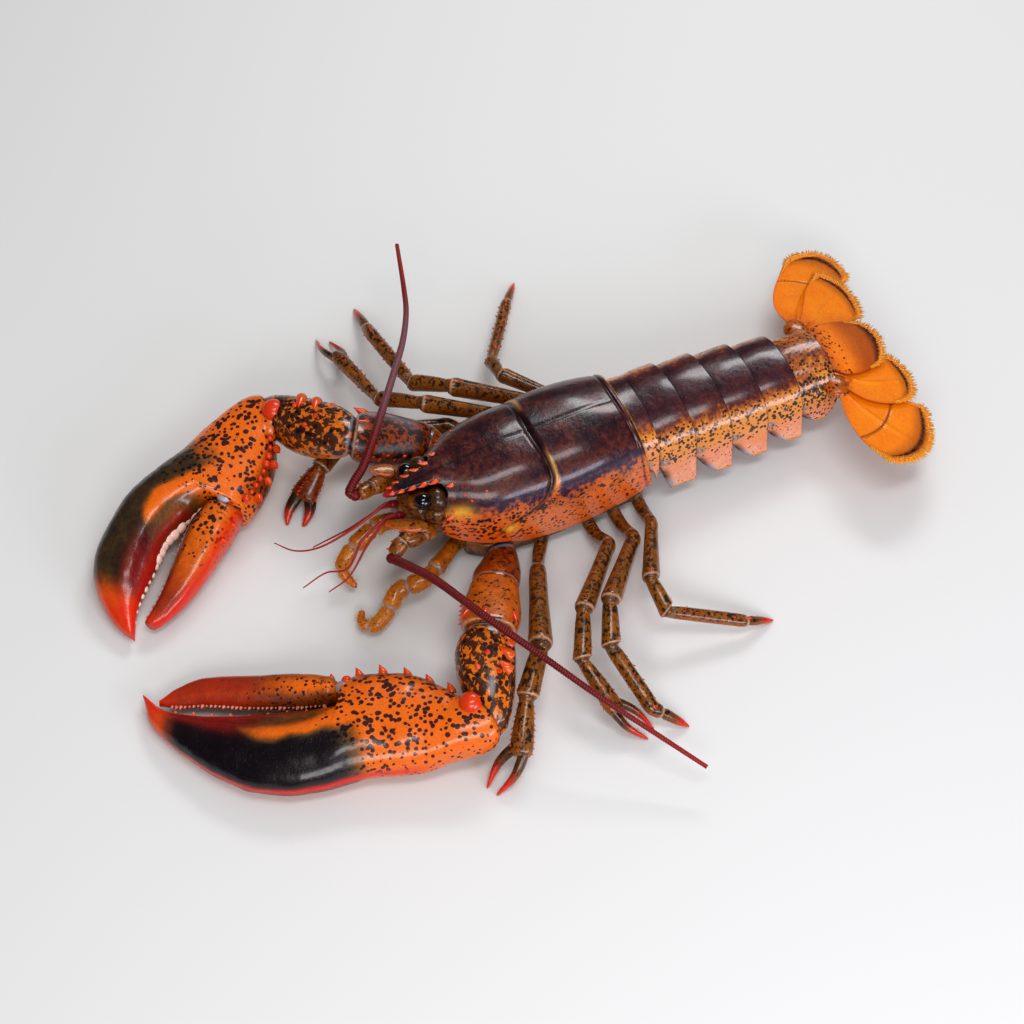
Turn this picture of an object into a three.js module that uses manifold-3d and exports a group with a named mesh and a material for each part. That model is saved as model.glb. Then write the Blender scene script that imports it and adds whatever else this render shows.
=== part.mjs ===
// American lobster at life size, resting on its belly, its claws and the tips of its legs.
// Millimetres, +Z up. The sizes below are in the body frame: the head points along -Y, the
// lobster's left is +X, z = 0 is the surface it rests on, and y = 0 is the rear edge of the
// carapace on the midline. The group is moved at the end so that its origin is the middle
// of the underside of its box.
import * as THREE from "three";
import { mergeVertices } from "three/addons/utils/BufferGeometryUtils.js";
import Module from "manifold-3d";

// Driving dimensions
const GAP = 0.3; // left between two pieces that meet face to face
const JOINT_GAP = GAP / 2; // each side of a joint plane
const ROOT_X = 22; // the limbs leave the underside of the thorax this far from the midline
const FRONT_Y = -96; // front wall of the carapace
const NECK_Y = 104.2; // rear face of the last tail segment

// Half width, top and lower edge of the carapace along its length
const CARAPACE = {
  halfWidth: [[-96, 14.5], [-90, 18.5], [-76, 25.5], [-60, 28], [-45, 29], [-30, 29.5], [-12, 28], [0, 26]],
  top: [[-96, 50.5], [-80, 53.5], [-60, 55.5], [-45, 55], [-20, 55.5], [0, 53.5]],
  lip: [[-96, 20], [-86, 17.5], [-76, 15.6], [-69, 14.4], [-60, 10.6], [-48, 9.2], [-30, 9.2], [-10, 10], [0, 13]],
  rows: [-96, -90, -82, -73, -64, -55, -48.5, -45, -41.5, -34, -24, -14, -5.5, -3.2, 0],
  columns: 22,
  arch: 0.62, // share of the way down each side that the roof takes
  archHeight: 21,
  roundness: 2.35,
  curl: 0.07, // how far the wall turns in below
  groove: { y: -45, depth: 1.5, reach: 2.4, sweep: 24 },
  band: { y: -3.2, depth: 0.7, reach: 1.2 },
  lobe: 7, // the lower rear corners reach back this far
  underside: 1.8, // height of the flat underside over the lower edge
};

const ROSTRUM = {
  stations: [
    // y, half width, top z, thickness
    [-84, 8, 53.4, 5],
    [-94, 6.6, 52.2, 5],
    [-99, 4.9, 51.4, 4.2],
    [-104, 3.9, 50.8, 3.6],
    [-110, 2.9, 50.1, 3],
    [-115, 1.7, 49.3, 2],
    [-118, 0.4, 48.6, 0.8],
  ],
  spines: [[-96.5, 6], [-102.5, 4.3], [-108.5, 3.2]], // y and distance from the midline
};

// Segments of the tail: start and end along the midline, half width, top and tip of the side lobe
const TAIL = [
  { name: "tail_segment_1", from: 0.3, to: 9.4, half: 24.4, top: 48.6, tipY: 9, tipZ: 16, tipX: 24 },
  { name: "tail_segment_2", from: 9.7, to: 27.6, half: 25.8, top: 47.4, tipY: 19, tipZ: 10, tipX: 28.6 },
  { name: "tail_segment_3", from: 27.9, to: 46.6, half: 25.4, top: 45.6, tipY: 36.5, tipZ: 10, tipX: 28.6 },
  { name: "tail_segment_4", from: 46.9, to: 65.6, half: 24.4, top: 44.2, tipY: 57, tipZ: 10, tipX: 27.4 },
  { name: "tail_segment_5", from: 65.9, to: 84.6, half: 23, top: 42.8, tipY: 77, tipZ: 10.5, tipX: 25.6 },
  { name: "tail_segment_6", from: 84.9, to: NECK_Y, half: 20, top: 41.6, tipY: 95, tipZ: 14, tipX: 22 },
];
const TAIL_BEND = 5.5; // sideways drift of the tail's midline at TAIL_BEND_Y
const TAIL_BEND_Y = 117;

// Tail fan: plates that lie in layers over one sloping sheet
const FAN = {
  rootZ: 37,
  slope: 0.26,
  droop: 0.04,
  layer: 2.2,
  thickness: 1.5,
};

// Edges of the plates in plan: the x of the root, then points [x, y] out to the far corner
const FAN_PLATES = [
  {
    name: "telson", layer: 0, bow: 5.5, crown: 1.6,
    inner: [-8, [-11.5, 115], [-10.6, 127], [-7.5, 134.5]],
    outer: [17, [21.5, 112], [21.8, 122], [19, 130.5]],
  },
  {
    name: "fan_inner_left", layer: 1, bow: 5, crown: 0,
    inner: [12, [14.5, 120], [14.6, 131], [14.6, 139]],
    outer: [20, [29, 108], [37, 114], [42, 126], [40.5, 135]],
  },
  {
    name: "fan_inner_right", layer: 1, bow: 7.5, crown: 0,
    inner: [-6, [-9, 120], [-11, 132], [-13.5, 140]],
    outer: [-13, [-27, 115.5], [-38, 124], [-46, 135]],
  },
  {
    name: "fan_outer_left", layer: 2, bow: 11, crown: 0,
    inner: [18, [28, 116], [37, 128], [46, 139.5]],
    outer: [24, [38, 99.6], [51.6, 98], [61.5, 99.7], [71, 105]],
  },
  {
    name: "fan_outer_right", layer: 2, bow: 12, crown: 0,
    inner: [-9, [-21, 121], [-32, 137], [-42.5, 150]],
    outer: [-15.6, [-28, 101.5], [-38.4, 105.3], [-52, 117], [-61, 127.5]],
  },
];

// Joints of the walking legs, from the root outwards, and the two finger tips of the front pairs
const LEGS = [
  {
    name: "leg_2_left", side: 1, pincer: true,
    root: [22, -48, 5.2], bend: [33, -56, 6.4], hip: [50, -65, 15], knee: [91, -84, 28],
    wrist: [108.6, -99.3, 22], foot: [127.3, -111.2, 13], tip: [135.1, -126.5, 0.6], thumb: [130, -128.8, 0.6],
  },
  {
    name: "leg_3_left", side: 1, pincer: true,
    root: [22, -27, 5.2], bend: [34, -27.6, 6.2], hip: [47, -27.6, 14], knee: [82.5, -58.9, 28],
    wrist: [100.7, -68.4, 20], foot: [124.6, -64, 11], tip: [138.8, -55, 0.6], thumb: [135.4, -50.4, 0.8],
  },
  {
    name: "leg_4_left", side: 1, pincer: false,
    root: [22, -13.5, 5.2], bend: [34, -14.4, 6.2], hip: [50, -16.5, 15], knee: [83.4, -46.2, 28],
    wrist: [99.7, -53.8, 20], foot: [130.9, -49.5, 12], tip: [140.9, -35.8, 0.6],
  },
  {
    name: "leg_5_left", side: 1, pincer: false,
    root: [22, -0.5, 5.4], bend: [33, -2, 7], hip: [45.9, -5, 15], knee: [78.3, -22.8, 24],
    wrist: [93.2, -22.1, 18], foot: [107.3, 10.7, 8], tip: [108.5, 25, 0.6],
  },
  {
    name: "leg_2_right", side: -1, pincer: true,
    root: [-22, -48, 5.2], bend: [-34, -54, 6.4], hip: [-50, -63, 10], knee: [-63, -108, 14],
    wrist: [-51.4, -129, 12.5], foot: [-43, -141.5, 7.5], tip: [-36.6, -152.6, 0.6], thumb: [-32.5, -146, 0.6],
  },
  {
    name: "leg_3_right", side: -1, pincer: true,
    root: [-22, -27, 5.2], bend: [-32, -29.5, 6.8], hip: [-40, -35, 13], knee: [-55.2, -74.4, 28],
    wrist: [-72.5, -89.3, 20], foot: [-111.5, -93.6, 11], tip: [-134.3, -96.2, 0.6], thumb: [-130.5, -90.6, 0.6],
  },
  {
    name: "leg_4_right", side: -1, pincer: false,
    root: [-22, -13.5, 5.2], bend: [-32, -15, 6.8], hip: [-40, -18.5, 14], knee: [-59.5, -57.9, 27],
    wrist: [-74.4, -70.8, 20], foot: [-116, -73.3, 12], tip: [-144.6, -71.2, 0.6],
  },
  {
    name: "leg_5_right", side: -1, pincer: false,
    root: [-22, -0.5, 5.4], bend: [-32, -3, 8], hip: [-38, -8, 13], knee: [-60.8, -30.6, 20],
    wrist: [-72.8, -29.7, 16], foot: [-108.9, -4.2, 8], tip: [-125.2, 8.2, 0.6],
  },
];

// Arms that carry the claws
const ARMS = [
  {
    side: "left",
    root: [ROOT_X, -70, 6], bend: [34, -77, 11], hip: [49, -86, 20],
    elbow: [75.4, -101.6, 30], wrist: [106, -120, 22],
  },
  {
    side: "right",
    root: [-ROOT_X, -70, 6], bend: [-31, -74.5, 9], hip: [-40, -81, 18],
    elbow: [-47, -112.5, 33.5], wrist: [-80, -141, 24],
  },
];

// Claws, each in its own flat frame: along runs from the wrist to the tip, across runs to
// the inner side, and every outline is a list of [along, across].
const CLAWS = [
  {
    side: "left",
    wrist: [106, -120], tip: [32, -243.6], inner: -1,
    split: 62.4,
    palmOuter: [
      [0, -8], [6, -15], [15, -22], [30, -26.5], [46, -30], [62, -36.5], [80, -40.5],
      [98, -38.5], [117, -30], [134, -18], [145, -7.5], [150, 4.5],
    ],
    palmInner: [[0, 6], [9, 7.6], [13, 9.8], [16, 12.6], [28, 18.5], [41, 20.4], [55, 18], [62, 14.8]],
    fingerInner: [[63, 2.2], [68, 1], [80, -1.5], [103, -4.6], [124, -5], [138, -3], [147, 3.5], [150, 5.5]],
    dactylInner: [[63.4, 4], [68, 3.4], [80, 1.6], [104, 0.6], [122, 0.8], [134, -0.4], [142, 0.9]],
    dactylOuter: [[63.4, 13.6], [68, 15.6], [76, 17.2], [90, 17], [106, 15.7], [124, 14.6], [136, 8.2], [142, 2.2]],
    centre: [[0, 22], [12, 16], [30, 12.6], [60, 12], [85, 10.4], [110, 8.6], [135, 6.4], [150, 4.6]],
    depth: [[0, 7.5], [8, 9.5], [20, 12], [45, 13.2], [62, 12.4], [85, 10.8], [110, 9], [135, 6], [150, 2]],
    dactylDepth: 0.8,
    teeth: { count: 11, from: 70, to: 136, radius: 1.5, height: 1.9 },
    spines: [[14, 12.6], [24, 17], [34, 20], [45, 20.6], [55, 18.4]],
    dactylSpines: [[67, 15.2]],
  },
  {
    side: "right",
    wrist: [-80, -141], tip: [-5.5, -238.5], inner: 1,
    split: 48.4,
    palmOuter: [
      [0, -12], [3, -20], [9, -26], [34, -31], [56, -38.4], [78, -40],
      [97, -37], [108, -30.4], [117, -19.6], [122.4, -7], [123, -1],
    ],
    palmInner: [[0, 6], [9, 7.8], [13, 10.6], [20, 13.4], [30, 15.6], [40, 16.2], [48, 15.4]],
    fingerInner: [[49, -4.2], [56, -6.8], [66, -9.8], [77, -11.4], [90, -9], [102, -7.2], [113, -5.4], [123, -0.4]],
    dactylInner: [[49.2, -2.4], [55, -4.4], [65, -5.8], [77, -3.8], [92, -0.8], [106, 0.6], [115, 0.6]],
    dactylOuter: [[49.2, 13.4], [56, 14.4], [64, 14.6], [82, 14.6], [101, 12], [113, 7.6], [119, 1.4]],
    centre: [[0, 24], [10, 18.5], [25, 15], [50, 14.2], [75, 12.6], [100, 9.6], [123, 5.6]],
    depth: [[0, 8], [6, 10.5], [18, 14], [35, 15.4], [52, 14.8], [75, 13], [100, 9.8], [114, 6.4], [123, 2.4]],
    dactylDepth: 0.84,
    teeth: { count: 6, from: 60, to: 108, radius: 2.8, height: 1.7 },
    spines: [[8, 10.8], [18, 14.4], [28, 16.6], [39, 17.4]],
    dactylSpines: [[58, 14.4], [67, 14.6]],
  },
];

const ANTENNAE = [
  {
    side: "left",
    stalk: [[12.2, -103.6, 30], [15.2, -105.6, 31.4], [17.2, -111, 33.2], [17.8, -116.4, 34], [21, -122.6, 31.6]],
    scale: [[15.8, -106, 33], [16.6, -104.6, 36.6], [13.8, -111, 38], [8.2, -121, 38.6]],
    whip: [
      [21.8, -124, 31], [31.7, -119.8, 35.2], [45, -114.1, 39.4], [74.7, -103.5, 43.4],
      [100.9, -89.4, 39.4], [126.6, -73.4, 31], [148.1, -57.7, 22], [168.6, -43, 14],
    ],
  },
  {
    side: "right",
    stalk: [[-12.2, -103.6, 30], [-15, -105.8, 31.6], [-15.4, -112, 34.6], [-12.8, -119, 38.4], [-9.8, -125.6, 41]],
    scale: [[-15.8, -106, 33], [-17, -104.6, 37], [-19, -109.5, 39], [-20.5, -115.5, 40.4]],
    whip: [
      [-9.4, -127.4, 42], [-10.6, -129.4, 44], [-13.4, -126, 46.4], [-17.8, -119.6, 48.4], [-26.2, -111.7, 50.4],
      [-42.7, -98.3, 51.8], [-60.5, -84.9, 50.4], [-79.1, -72, 47.4], [-97.2, -62.4, 44],
      [-112.2, -56.8, 41], [-144.4, -46.2, 36],
    ],
  },
];
const WHIP_RADIUS = [2.2, 1]; // at the root and at the blunt end

const ANTENNULES = [
  {
    side: "left",
    stalk: [[3.6, -110.4, 33], [4.2, -115, 35.6], [4.6, -119.5, 37]],
    branches: [
      [[4.6, -119, 36.9], [8.2, -132, 33], [15.8, -143, 27], [12.3, -152, 25], [12.7, -163.6, 21]],
      [[4.8, -119, 36.2], [11, -131, 31.6], [18.6, -143.6, 24.8], [19.1, -153.8, 20]],
    ],
  },
  {
    side: "right",
    stalk: [[-3.6, -110.4, 33], [-2.6, -115, 36], [-1, -119.5, 38]],
    branches: [
      [[-1, -119, 38], [2, -134.9, 34.4], [1, -151.2, 29.2], [-3.4, -160.5, 27.4], [-11.6, -167, 27]],
      [[-1.4, -119, 37], [-0.4, -134, 32.6], [-1.6, -146, 28.4], [-2.4, -152, 26]],
    ],
  },
];

const MAXILLIPEDS = [
  {
    side: "left",
    path: [
      [10, -84.4, 6.4], [13.4, -90.5, 9], [20, -98, 12.6], [28.5, -111.6, 15], [27.4, -123.8, 12.6],
      [33.3, -132.3, 8.6], [35.4, -140.4, 5.6], [30.5, -143.6, 4.6], [24.6, -141, 4.4],
    ],
  },
  {
    side: "right",
    path: [
      [-10, -84.4, 6.4], [-9.4, -95, 10], [-7.4, -107, 14.6], [-5.8, -119, 18.6], [1, -138, 14.6],
      [4, -141.4, 8.8], [12.6, -138.4, 5],
    ],
  },
];

// Arithmetic on points

const wasm = await Module();
wasm.setup();

const point = ([x, y, z]) => new THREE.Vector3(x, y, z);
const clamp = THREE.MathUtils.clamp;
const lerp = THREE.MathUtils.lerp;

// Smooth curve through [t, value] pairs, level or straight where the pairs are
function profile(pairs, t) {
  const last = pairs.length - 1;
  if (t <= pairs[0][0]) return pairs[0][1];
  if (t >= pairs[last][0]) return pairs[last][1];
  const i = pairs.findIndex((p) => p[0] > t) - 1;
  const slope = (k) => {
    const a = pairs[Math.max(k - 1, 0)];
    const b = pairs[Math.min(k + 1, last)];
    return (b[1] - a[1]) / (b[0] - a[0]);
  };
  const [t0, v0] = pairs[i];
  const [t1, v1] = pairs[i + 1];
  const step = t1 - t0;
  const s = (t - t0) / step;
  const h = s * s * (3 - 2 * s);
  return v0 * (1 - h) + v1 * h + step * (s * (1 - s) * (1 - s) * slope(i) - s * s * (1 - s) * slope(i + 1));
}

const bump = (x, reach) => Math.exp(-((x / reach) ** 2));

// Geometry from points and triangles, turned so that its faces point out
function closedGeometry(points, triangles) {
  let volume = 0;
  for (const [a, b, c] of triangles) {
    volume += points[a].dot(new THREE.Vector3().crossVectors(points[b], points[c]));
  }
  const index = volume < 0 ? triangles.map(([a, b, c]) => [a, c, b]) : triangles;
  return new THREE.BufferGeometry()
    .setAttribute("position", new THREE.Float32BufferAttribute(points.flatMap((p) => p.toArray()), 3))
    .setIndex(index.flat());
}

// Solid over a list of rings with the same number of points, its two ends closed by fans
function ringLoft(rings) {
  const count = rings[0].length;
  const points = rings.flat();
  const triangles = [];
  for (let r = 0; r + 1 < rings.length; r++) {
    for (let c = 0; c < count; c++) {
      const a = r * count + c;
      const b = r * count + ((c + 1) % count);
      triangles.push([a, b, a + count], [b, b + count, a + count]);
    }
  }
  for (const r of [0, rings.length - 1]) {
    const middle = rings[r].reduce((sum, p) => sum.add(p), new THREE.Vector3()).divideScalar(count);
    points.push(middle);
    for (let c = 0; c < count; c++) {
      const a = r * count + c;
      const b = r * count + ((c + 1) % count);
      triangles.push(r ? [a, b, points.length - 1] : [b, a, points.length - 1]);
    }
  }
  return closedGeometry(points, triangles);
}

// Solid between an outer and an inner sheet, each a grid of rows of points
function slab(outer, inner) {
  const rows = outer.length;
  const columns = outer[0].length;
  const points = [...outer.flat(), ...inner.flat()];
  const half = rows * columns;
  const triangles = [];
  for (let r = 0; r + 1 < rows; r++) {
    for (let c = 0; c + 1 < columns; c++) {
      const a = r * columns + c;
      const b = a + 1;
      const d = a + columns;
      const e = d + 1;
      triangles.push([a, b, d], [b, e, d]);
      triangles.push([a + half, d + half, b + half], [b + half, d + half, e + half]);
    }
  }
  const edge = (a, b) => triangles.push([b, a, a + half], [b, a + half, b + half]);
  for (let c = 0; c + 1 < columns; c++) {
    edge(c, c + 1);
    edge((rows - 1) * columns + c + 1, (rows - 1) * columns + c);
  }
  for (let r = 0; r + 1 < rows; r++) {
    edge((r + 1) * columns, r * columns);
    edge(r * columns + columns - 1, (r + 1) * columns + columns - 1);
  }
  return closedGeometry(points, triangles);
}

// Points of a path at even steps along a smooth curve
function smoothPath(points, steps) {
  return new THREE.CatmullRomCurve3(points.map(point), false, "centripetal").getSpacedPoints(steps);
}

// Round or flattened solid along a path. radii holds [half width, half height] for each
// point, and each end may lie in a given plane. Half height is measured towards up.
function limb(path, radii, { sides = 8, up = [0, 0, 1], startPlane, endPlane, square = 2 } = {}) {
  const upward = point(up);
  const rings = path.map((centre, i) => {
    const before = path[Math.max(i - 1, 0)];
    const after = path[Math.min(i + 1, path.length - 1)];
    const along = new THREE.Vector3().subVectors(after, before).normalize();
    const across = new THREE.Vector3().crossVectors(along, upward).normalize();
    const height = new THREE.Vector3().crossVectors(across, along).normalize();
    const [halfWidth, halfHeight] = radii[i];
    const plane = i === 0 ? startPlane : i === path.length - 1 ? endPlane : undefined;
    return Array.from({ length: sides }, (_, k) => {
      const angle = ((k + 0.5) / sides) * 2 * Math.PI;
      const c = Math.cos(angle);
      const s = Math.sin(angle);
      const p = centre.clone();
      p.addScaledVector(across, halfWidth * Math.sign(c) * Math.abs(c) ** (2 / square));
      p.addScaledVector(height, halfHeight * Math.sign(s) * Math.abs(s) ** (2 / square));
      if (plane) {
        p.addScaledVector(along, -p.clone().sub(centre).dot(plane) / along.dot(plane));
      }
      return p;
    });
  });
  return ringLoft(rings);
}

// Plane at a joint: its normal halves the angle between the two pieces that meet there
function jointPlane(before, joint, after) {
  const a = new THREE.Vector3().subVectors(joint, before).normalize();
  const b = new THREE.Vector3().subVectors(after, joint).normalize();
  return a.add(b).normalize();
}

// Straight piece between two joints, drawn back from each joint plane by the gap. shape
// holds [share of the length, half width, half height].
function segment(from, to, fromPlane, toPlane, shape, options = {}) {
  const along = new THREE.Vector3().subVectors(to, from).normalize();
  const start = from.clone().addScaledVector(along, fromPlane ? JOINT_GAP / along.dot(fromPlane) : 0);
  const end = to.clone().addScaledVector(along, toPlane ? -JOINT_GAP / along.dot(toPlane) : 0);
  const path = shape.map(([t]) => start.clone().lerp(end, t));
  const radii = shape.map(([, w, h]) => [w, h]);
  return limb(path, radii, { startPlane: fromPlane, endPlane: toPlane, ...options });
}

// Cone with its root sunk into the surface at base
function spike(base, direction, length, radius, sides = 5) {
  const along = point(direction).normalize();
  const sunk = length * 0.45;
  const geometry = new THREE.ConeGeometry(radius, length + sunk, sides);
  geometry.translate(0, (length + sunk) / 2 - sunk, 0);
  geometry.applyQuaternion(new THREE.Quaternion().setFromUnitVectors(new THREE.Vector3(0, 1, 0), along));
  return geometry.translate(base[0], base[1], base[2]);
}

// Low dome, such as a crushing tooth
function knob(centre, radius) {
  return new THREE.SphereGeometry(radius, 7, 5).translate(centre[0], centre[1], centre[2]);
}

function toSolid(geometry) {
  const bare = geometry.clone();
  bare.deleteAttribute("normal");
  bare.deleteAttribute("uv");
  const merged = mergeVertices(bare, 1e-3);
  return new wasm.Manifold(
    new wasm.Mesh({
      numProp: 3,
      vertProperties: new Float32Array(merged.attributes.position.array),
      triVerts: new Uint32Array(merged.index.array),
    }),
  );
}

function toGeometry(solid) {
  const mesh = solid.getMesh();
  return new THREE.BufferGeometry()
    .setAttribute("position", new THREE.BufferAttribute(new Float32Array(mesh.vertProperties), 3))
    .setIndex([...mesh.triVerts]);
}

// The largest closed surface of a solid
function largest(solid) {
  return solid.decompose().reduce((a, b) => (b.volume() > a.volume() ? b : a));
}

// One closed body from pieces that run into each other
function fuse(pieces) {
  const solids = pieces.map(toSolid);
  return toGeometry(largest(solids.reduce((a, b) => a.add(b))));
}

// Removes what reaches below the surface that the lobster rests on, which leaves a small flat
const below = toSolid(new THREE.BoxGeometry(900, 900, 60).translate(0, 0, -30));
function trimToFloor(geometry) {
  return toGeometry(largest(toSolid(geometry).subtract(below)));
}

// Materials

const shellMaterial = (colour, roughness = 0.35) =>
  new THREE.MeshStandardMaterial({ color: colour, roughness, metalness: 0 });
const PAINT = {
  back: shellMaterial(0x3a1c1a),
  belly: shellMaterial(0xb5653a, 0.5),
  tail: shellMaterial(0x4a2a24),
  fan: shellMaterial(0xc46a24),
  claw: shellMaterial(0xc4501c),
  leg: shellMaterial(0x7c4a26),
  whip: shellMaterial(0x6e2528),
  mouth: shellMaterial(0xb8762c, 0.5),
  eye: shellMaterial(0x0b0908, 0.1),
};

const lobster = new THREE.Group();
function addNode(name, geometry, material) {
  const mesh = new THREE.Mesh(geometry, material.clone());
  mesh.name = name;
  lobster.add(mesh);
}

// Carapace

// Point of the shell at a row y and at q from -1, right lower edge, to 1, left lower edge
function carapacePoint(y, q) {
  const shape = CARAPACE;
  const down = Math.abs(q);
  const side = Math.sign(q);
  const sweep = Math.max(0, 1 - Math.abs(y - shape.groove.y) / 45) * shape.groove.sweep * down * down;
  const lobe = shape.lobe * clamp((y + 14) / 14, 0, 1) * down * down;
  const station = Math.min(y - sweep, 0);
  const width = profile(shape.halfWidth, station);
  const top = profile(shape.top, station);
  const lip = profile(shape.lip, station);
  const shoulder = top - Math.min(shape.archHeight, (top - lip) * 0.62);
  const roll = (down / shape.arch) * (Math.PI / 2);
  const fall = (down - shape.arch) / (1 - shape.arch);
  const dent = shape.groove.depth * bump(y - shape.groove.y, shape.groove.reach)
    + shape.band.depth * bump(y - shape.band.y, shape.band.reach);
  const inWall = down > shape.arch;
  const power = 2 / shape.roundness;
  const x = inWall
    ? (width - dent) * (1 - shape.curl * fall * fall)
    : (width - dent) * Math.sin(roll) ** power;
  const z = inWall
    ? lerp(shoulder, lip, fall)
    : shoulder + (top - dent - shoulder) * Math.max(Math.cos(roll), 0) ** power;
  return new THREE.Vector3(side * x, station + lobe, z);
}

function makeCarapace() {
  const { rows, columns, underside } = CARAPACE;
  const outer = [];
  const inner = [];
  for (const y of rows) {
    const line = Array.from({ length: columns + 1 }, (_, c) => carapacePoint(y, (2 * c) / columns - 1));
    outer.push(line);
    inner.push(line.map((p, c) => {
      const q = (2 * c) / columns - 1;
      const reach = Math.abs(line[columns].x) - 3.2;
      const station = Math.min(p.y, y);
      return new THREE.Vector3(reach * q, station, profile(CARAPACE.lip, station) + underside);
    }));
  }
  const pieces = [slab(outer, inner), makeRostrum()];
  for (const side of [-1, 1]) {
    for (const [y, x] of ROSTRUM.spines) {
      pieces.push(spike([side * x, y, profile(ROSTRUM_TOP, -y) - 1.4], [side * 0.45, -1, 0.25], 3.4, 1.2));
    }
    pieces.push(spike([side * 13.6, -95, 44], [side * 0.3, -1, 0.15], 3.6, 1.5)); // beside the eye
    pieces.push(spike([side * 9.5, -88, 49.6], [side * 0.2, -1, 0.35], 2.6, 1.3)); // behind the eye
  }
  addNode("carapace", fuse(pieces), PAINT.back);
}

const ROSTRUM_TOP = ROSTRUM.stations.map(([y, , top]) => [-y, top]);

function makeRostrum() {
  const path = ROSTRUM.stations.map(([y, , top, thick]) => new THREE.Vector3(0, y, top - thick / 2));
  const radii = ROSTRUM.stations.map(([, half, , thick]) => [half, thick / 2]);
  return limb(path, radii, { sides: 10 });
}

// Underside of the thorax, which carries the limbs and lies on the floor
function makeThorax() {
  const outline = new THREE.Shape();
  const reach = ROOT_X - GAP;
  outline.moveTo(-reach, 4);
  outline.lineTo(reach, 4);
  outline.lineTo(reach, -74);
  outline.lineTo(15, -84);
  outline.lineTo(-15, -84);
  outline.lineTo(-reach, -74);
  const block = new THREE.ExtrudeGeometry(outline, {
    depth: 10.6, bevelEnabled: false,
  });
  addNode("thorax", block, PAINT.belly);
}

// Head block in front of the carapace, below the rostrum
function makeHead() {
  const stations = [
    // y, half width, low z, high z
    [FRONT_Y - GAP, 11.4, 20, 42],
    [-101, 11.4, 20, 41],
    [-106, 10, 21, 40],
    [-110, 7, 25, 37.6],
  ];
  const path = stations.map(([y, , low, high]) => new THREE.Vector3(0, y, (low + high) / 2));
  const radii = stations.map(([, half, low, high]) => [half, (high - low) / 2]);
  const flat = { sides: 14, square: 2.8, startPlane: new THREE.Vector3(0, -1, 0) };
  addNode("head", limb(path, radii, flat), PAINT.mouth);
}

function makeEyes() {
  for (const [name, side] of [["eye_left", 1], ["eye_right", -1]]) {
    const ball = new THREE.SphereGeometry(4.1, 12, 8).translate(side * 9.2, -102.4, 45.6);
    addNode(name, ball, PAINT.eye);
  }
}

// Antennae, antennules and maxillipeds

function taper(count, start, end, flat = 1) {
  return Array.from({ length: count }, (_, i) => {
    const r = lerp(start, end, i / (count - 1));
    return [r, r * flat];
  });
}

function makeAntennae() {
  for (const antenna of ANTENNAE) {
    const inward = antenna.side === "left" ? 1 : -1;
    const stalk = antenna.stalk.map(point);
    const before = stalk[stalk.length - 2];
    const end = stalk[stalk.length - 1];
    const seam = new THREE.Vector3().subVectors(end, before).normalize();
    const path = smoothPath(antenna.stalk, 6);
    const radii = [[4.2, 4], [4.7, 4.4], [4.5, 4.2], [4.3, 4.1], [3.9, 3.7], [3.6, 3.4], [2.9, 2.8]];
    const base = limb(path, radii, {
      sides: 10, startPlane: new THREE.Vector3(inward, 0, 0), endPlane: seam,
    });
    const scale = limb(smoothPath(antenna.scale, 6), [
      [2, 1.5], [3.4, 1.4], [4.2, 1], [4.3, 0.9], [3.6, 0.8], [2.2, 0.6], [0.5, 0.4],
    ]);
    addNode("antenna_base_" + antenna.side, fuse([base, scale]), PAINT.claw);

    const whip = smoothPath(antenna.whip, 30);
    whip[0].copy(end).addScaledVector(seam, GAP);
    const round = taper(whip.length, WHIP_RADIUS[0], WHIP_RADIUS[1]);
    addNode("antenna_" + antenna.side, limb(whip, round, { startPlane: seam }), PAINT.whip);
  }
}

function makeAntennules() {
  for (const antennule of ANTENNULES) {
    const pieces = [
      limb(smoothPath(antennule.stalk, 3), taper(4, 1.9, 1.3), {
        sides: 6, startPlane: new THREE.Vector3(0, -1, 0),
      }),
    ];
    for (const branch of antennule.branches) {
      pieces.push(limb(smoothPath(branch, 9), taper(10, 0.75, 0.3), { sides: 5 }));
    }
    addNode("antennule_" + antennule.side, fuse(pieces), PAINT.whip);
  }
}

function makeMaxillipeds() {
  for (const palp of MAXILLIPEDS) {
    const path = smoothPath(palp.path, 13);
    const radii = path.map((_, i) => {
      const t = i / (path.length - 1);
      const r = lerp(3.8, 1.1, t) * (1 + 0.1 * Math.cos(t * 8 * Math.PI));
      return [r, r * 0.92];
    });
    const leg = limb(path, radii, { startPlane: new THREE.Vector3(0, -1, 0) });
    addNode("maxilliped_" + palp.side, leg, PAINT.mouth);
  }
}

// Tail

const tailX = (y) => (y > 0 ? TAIL_BEND * (y / TAIL_BEND_Y) ** 2 : 0);

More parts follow.
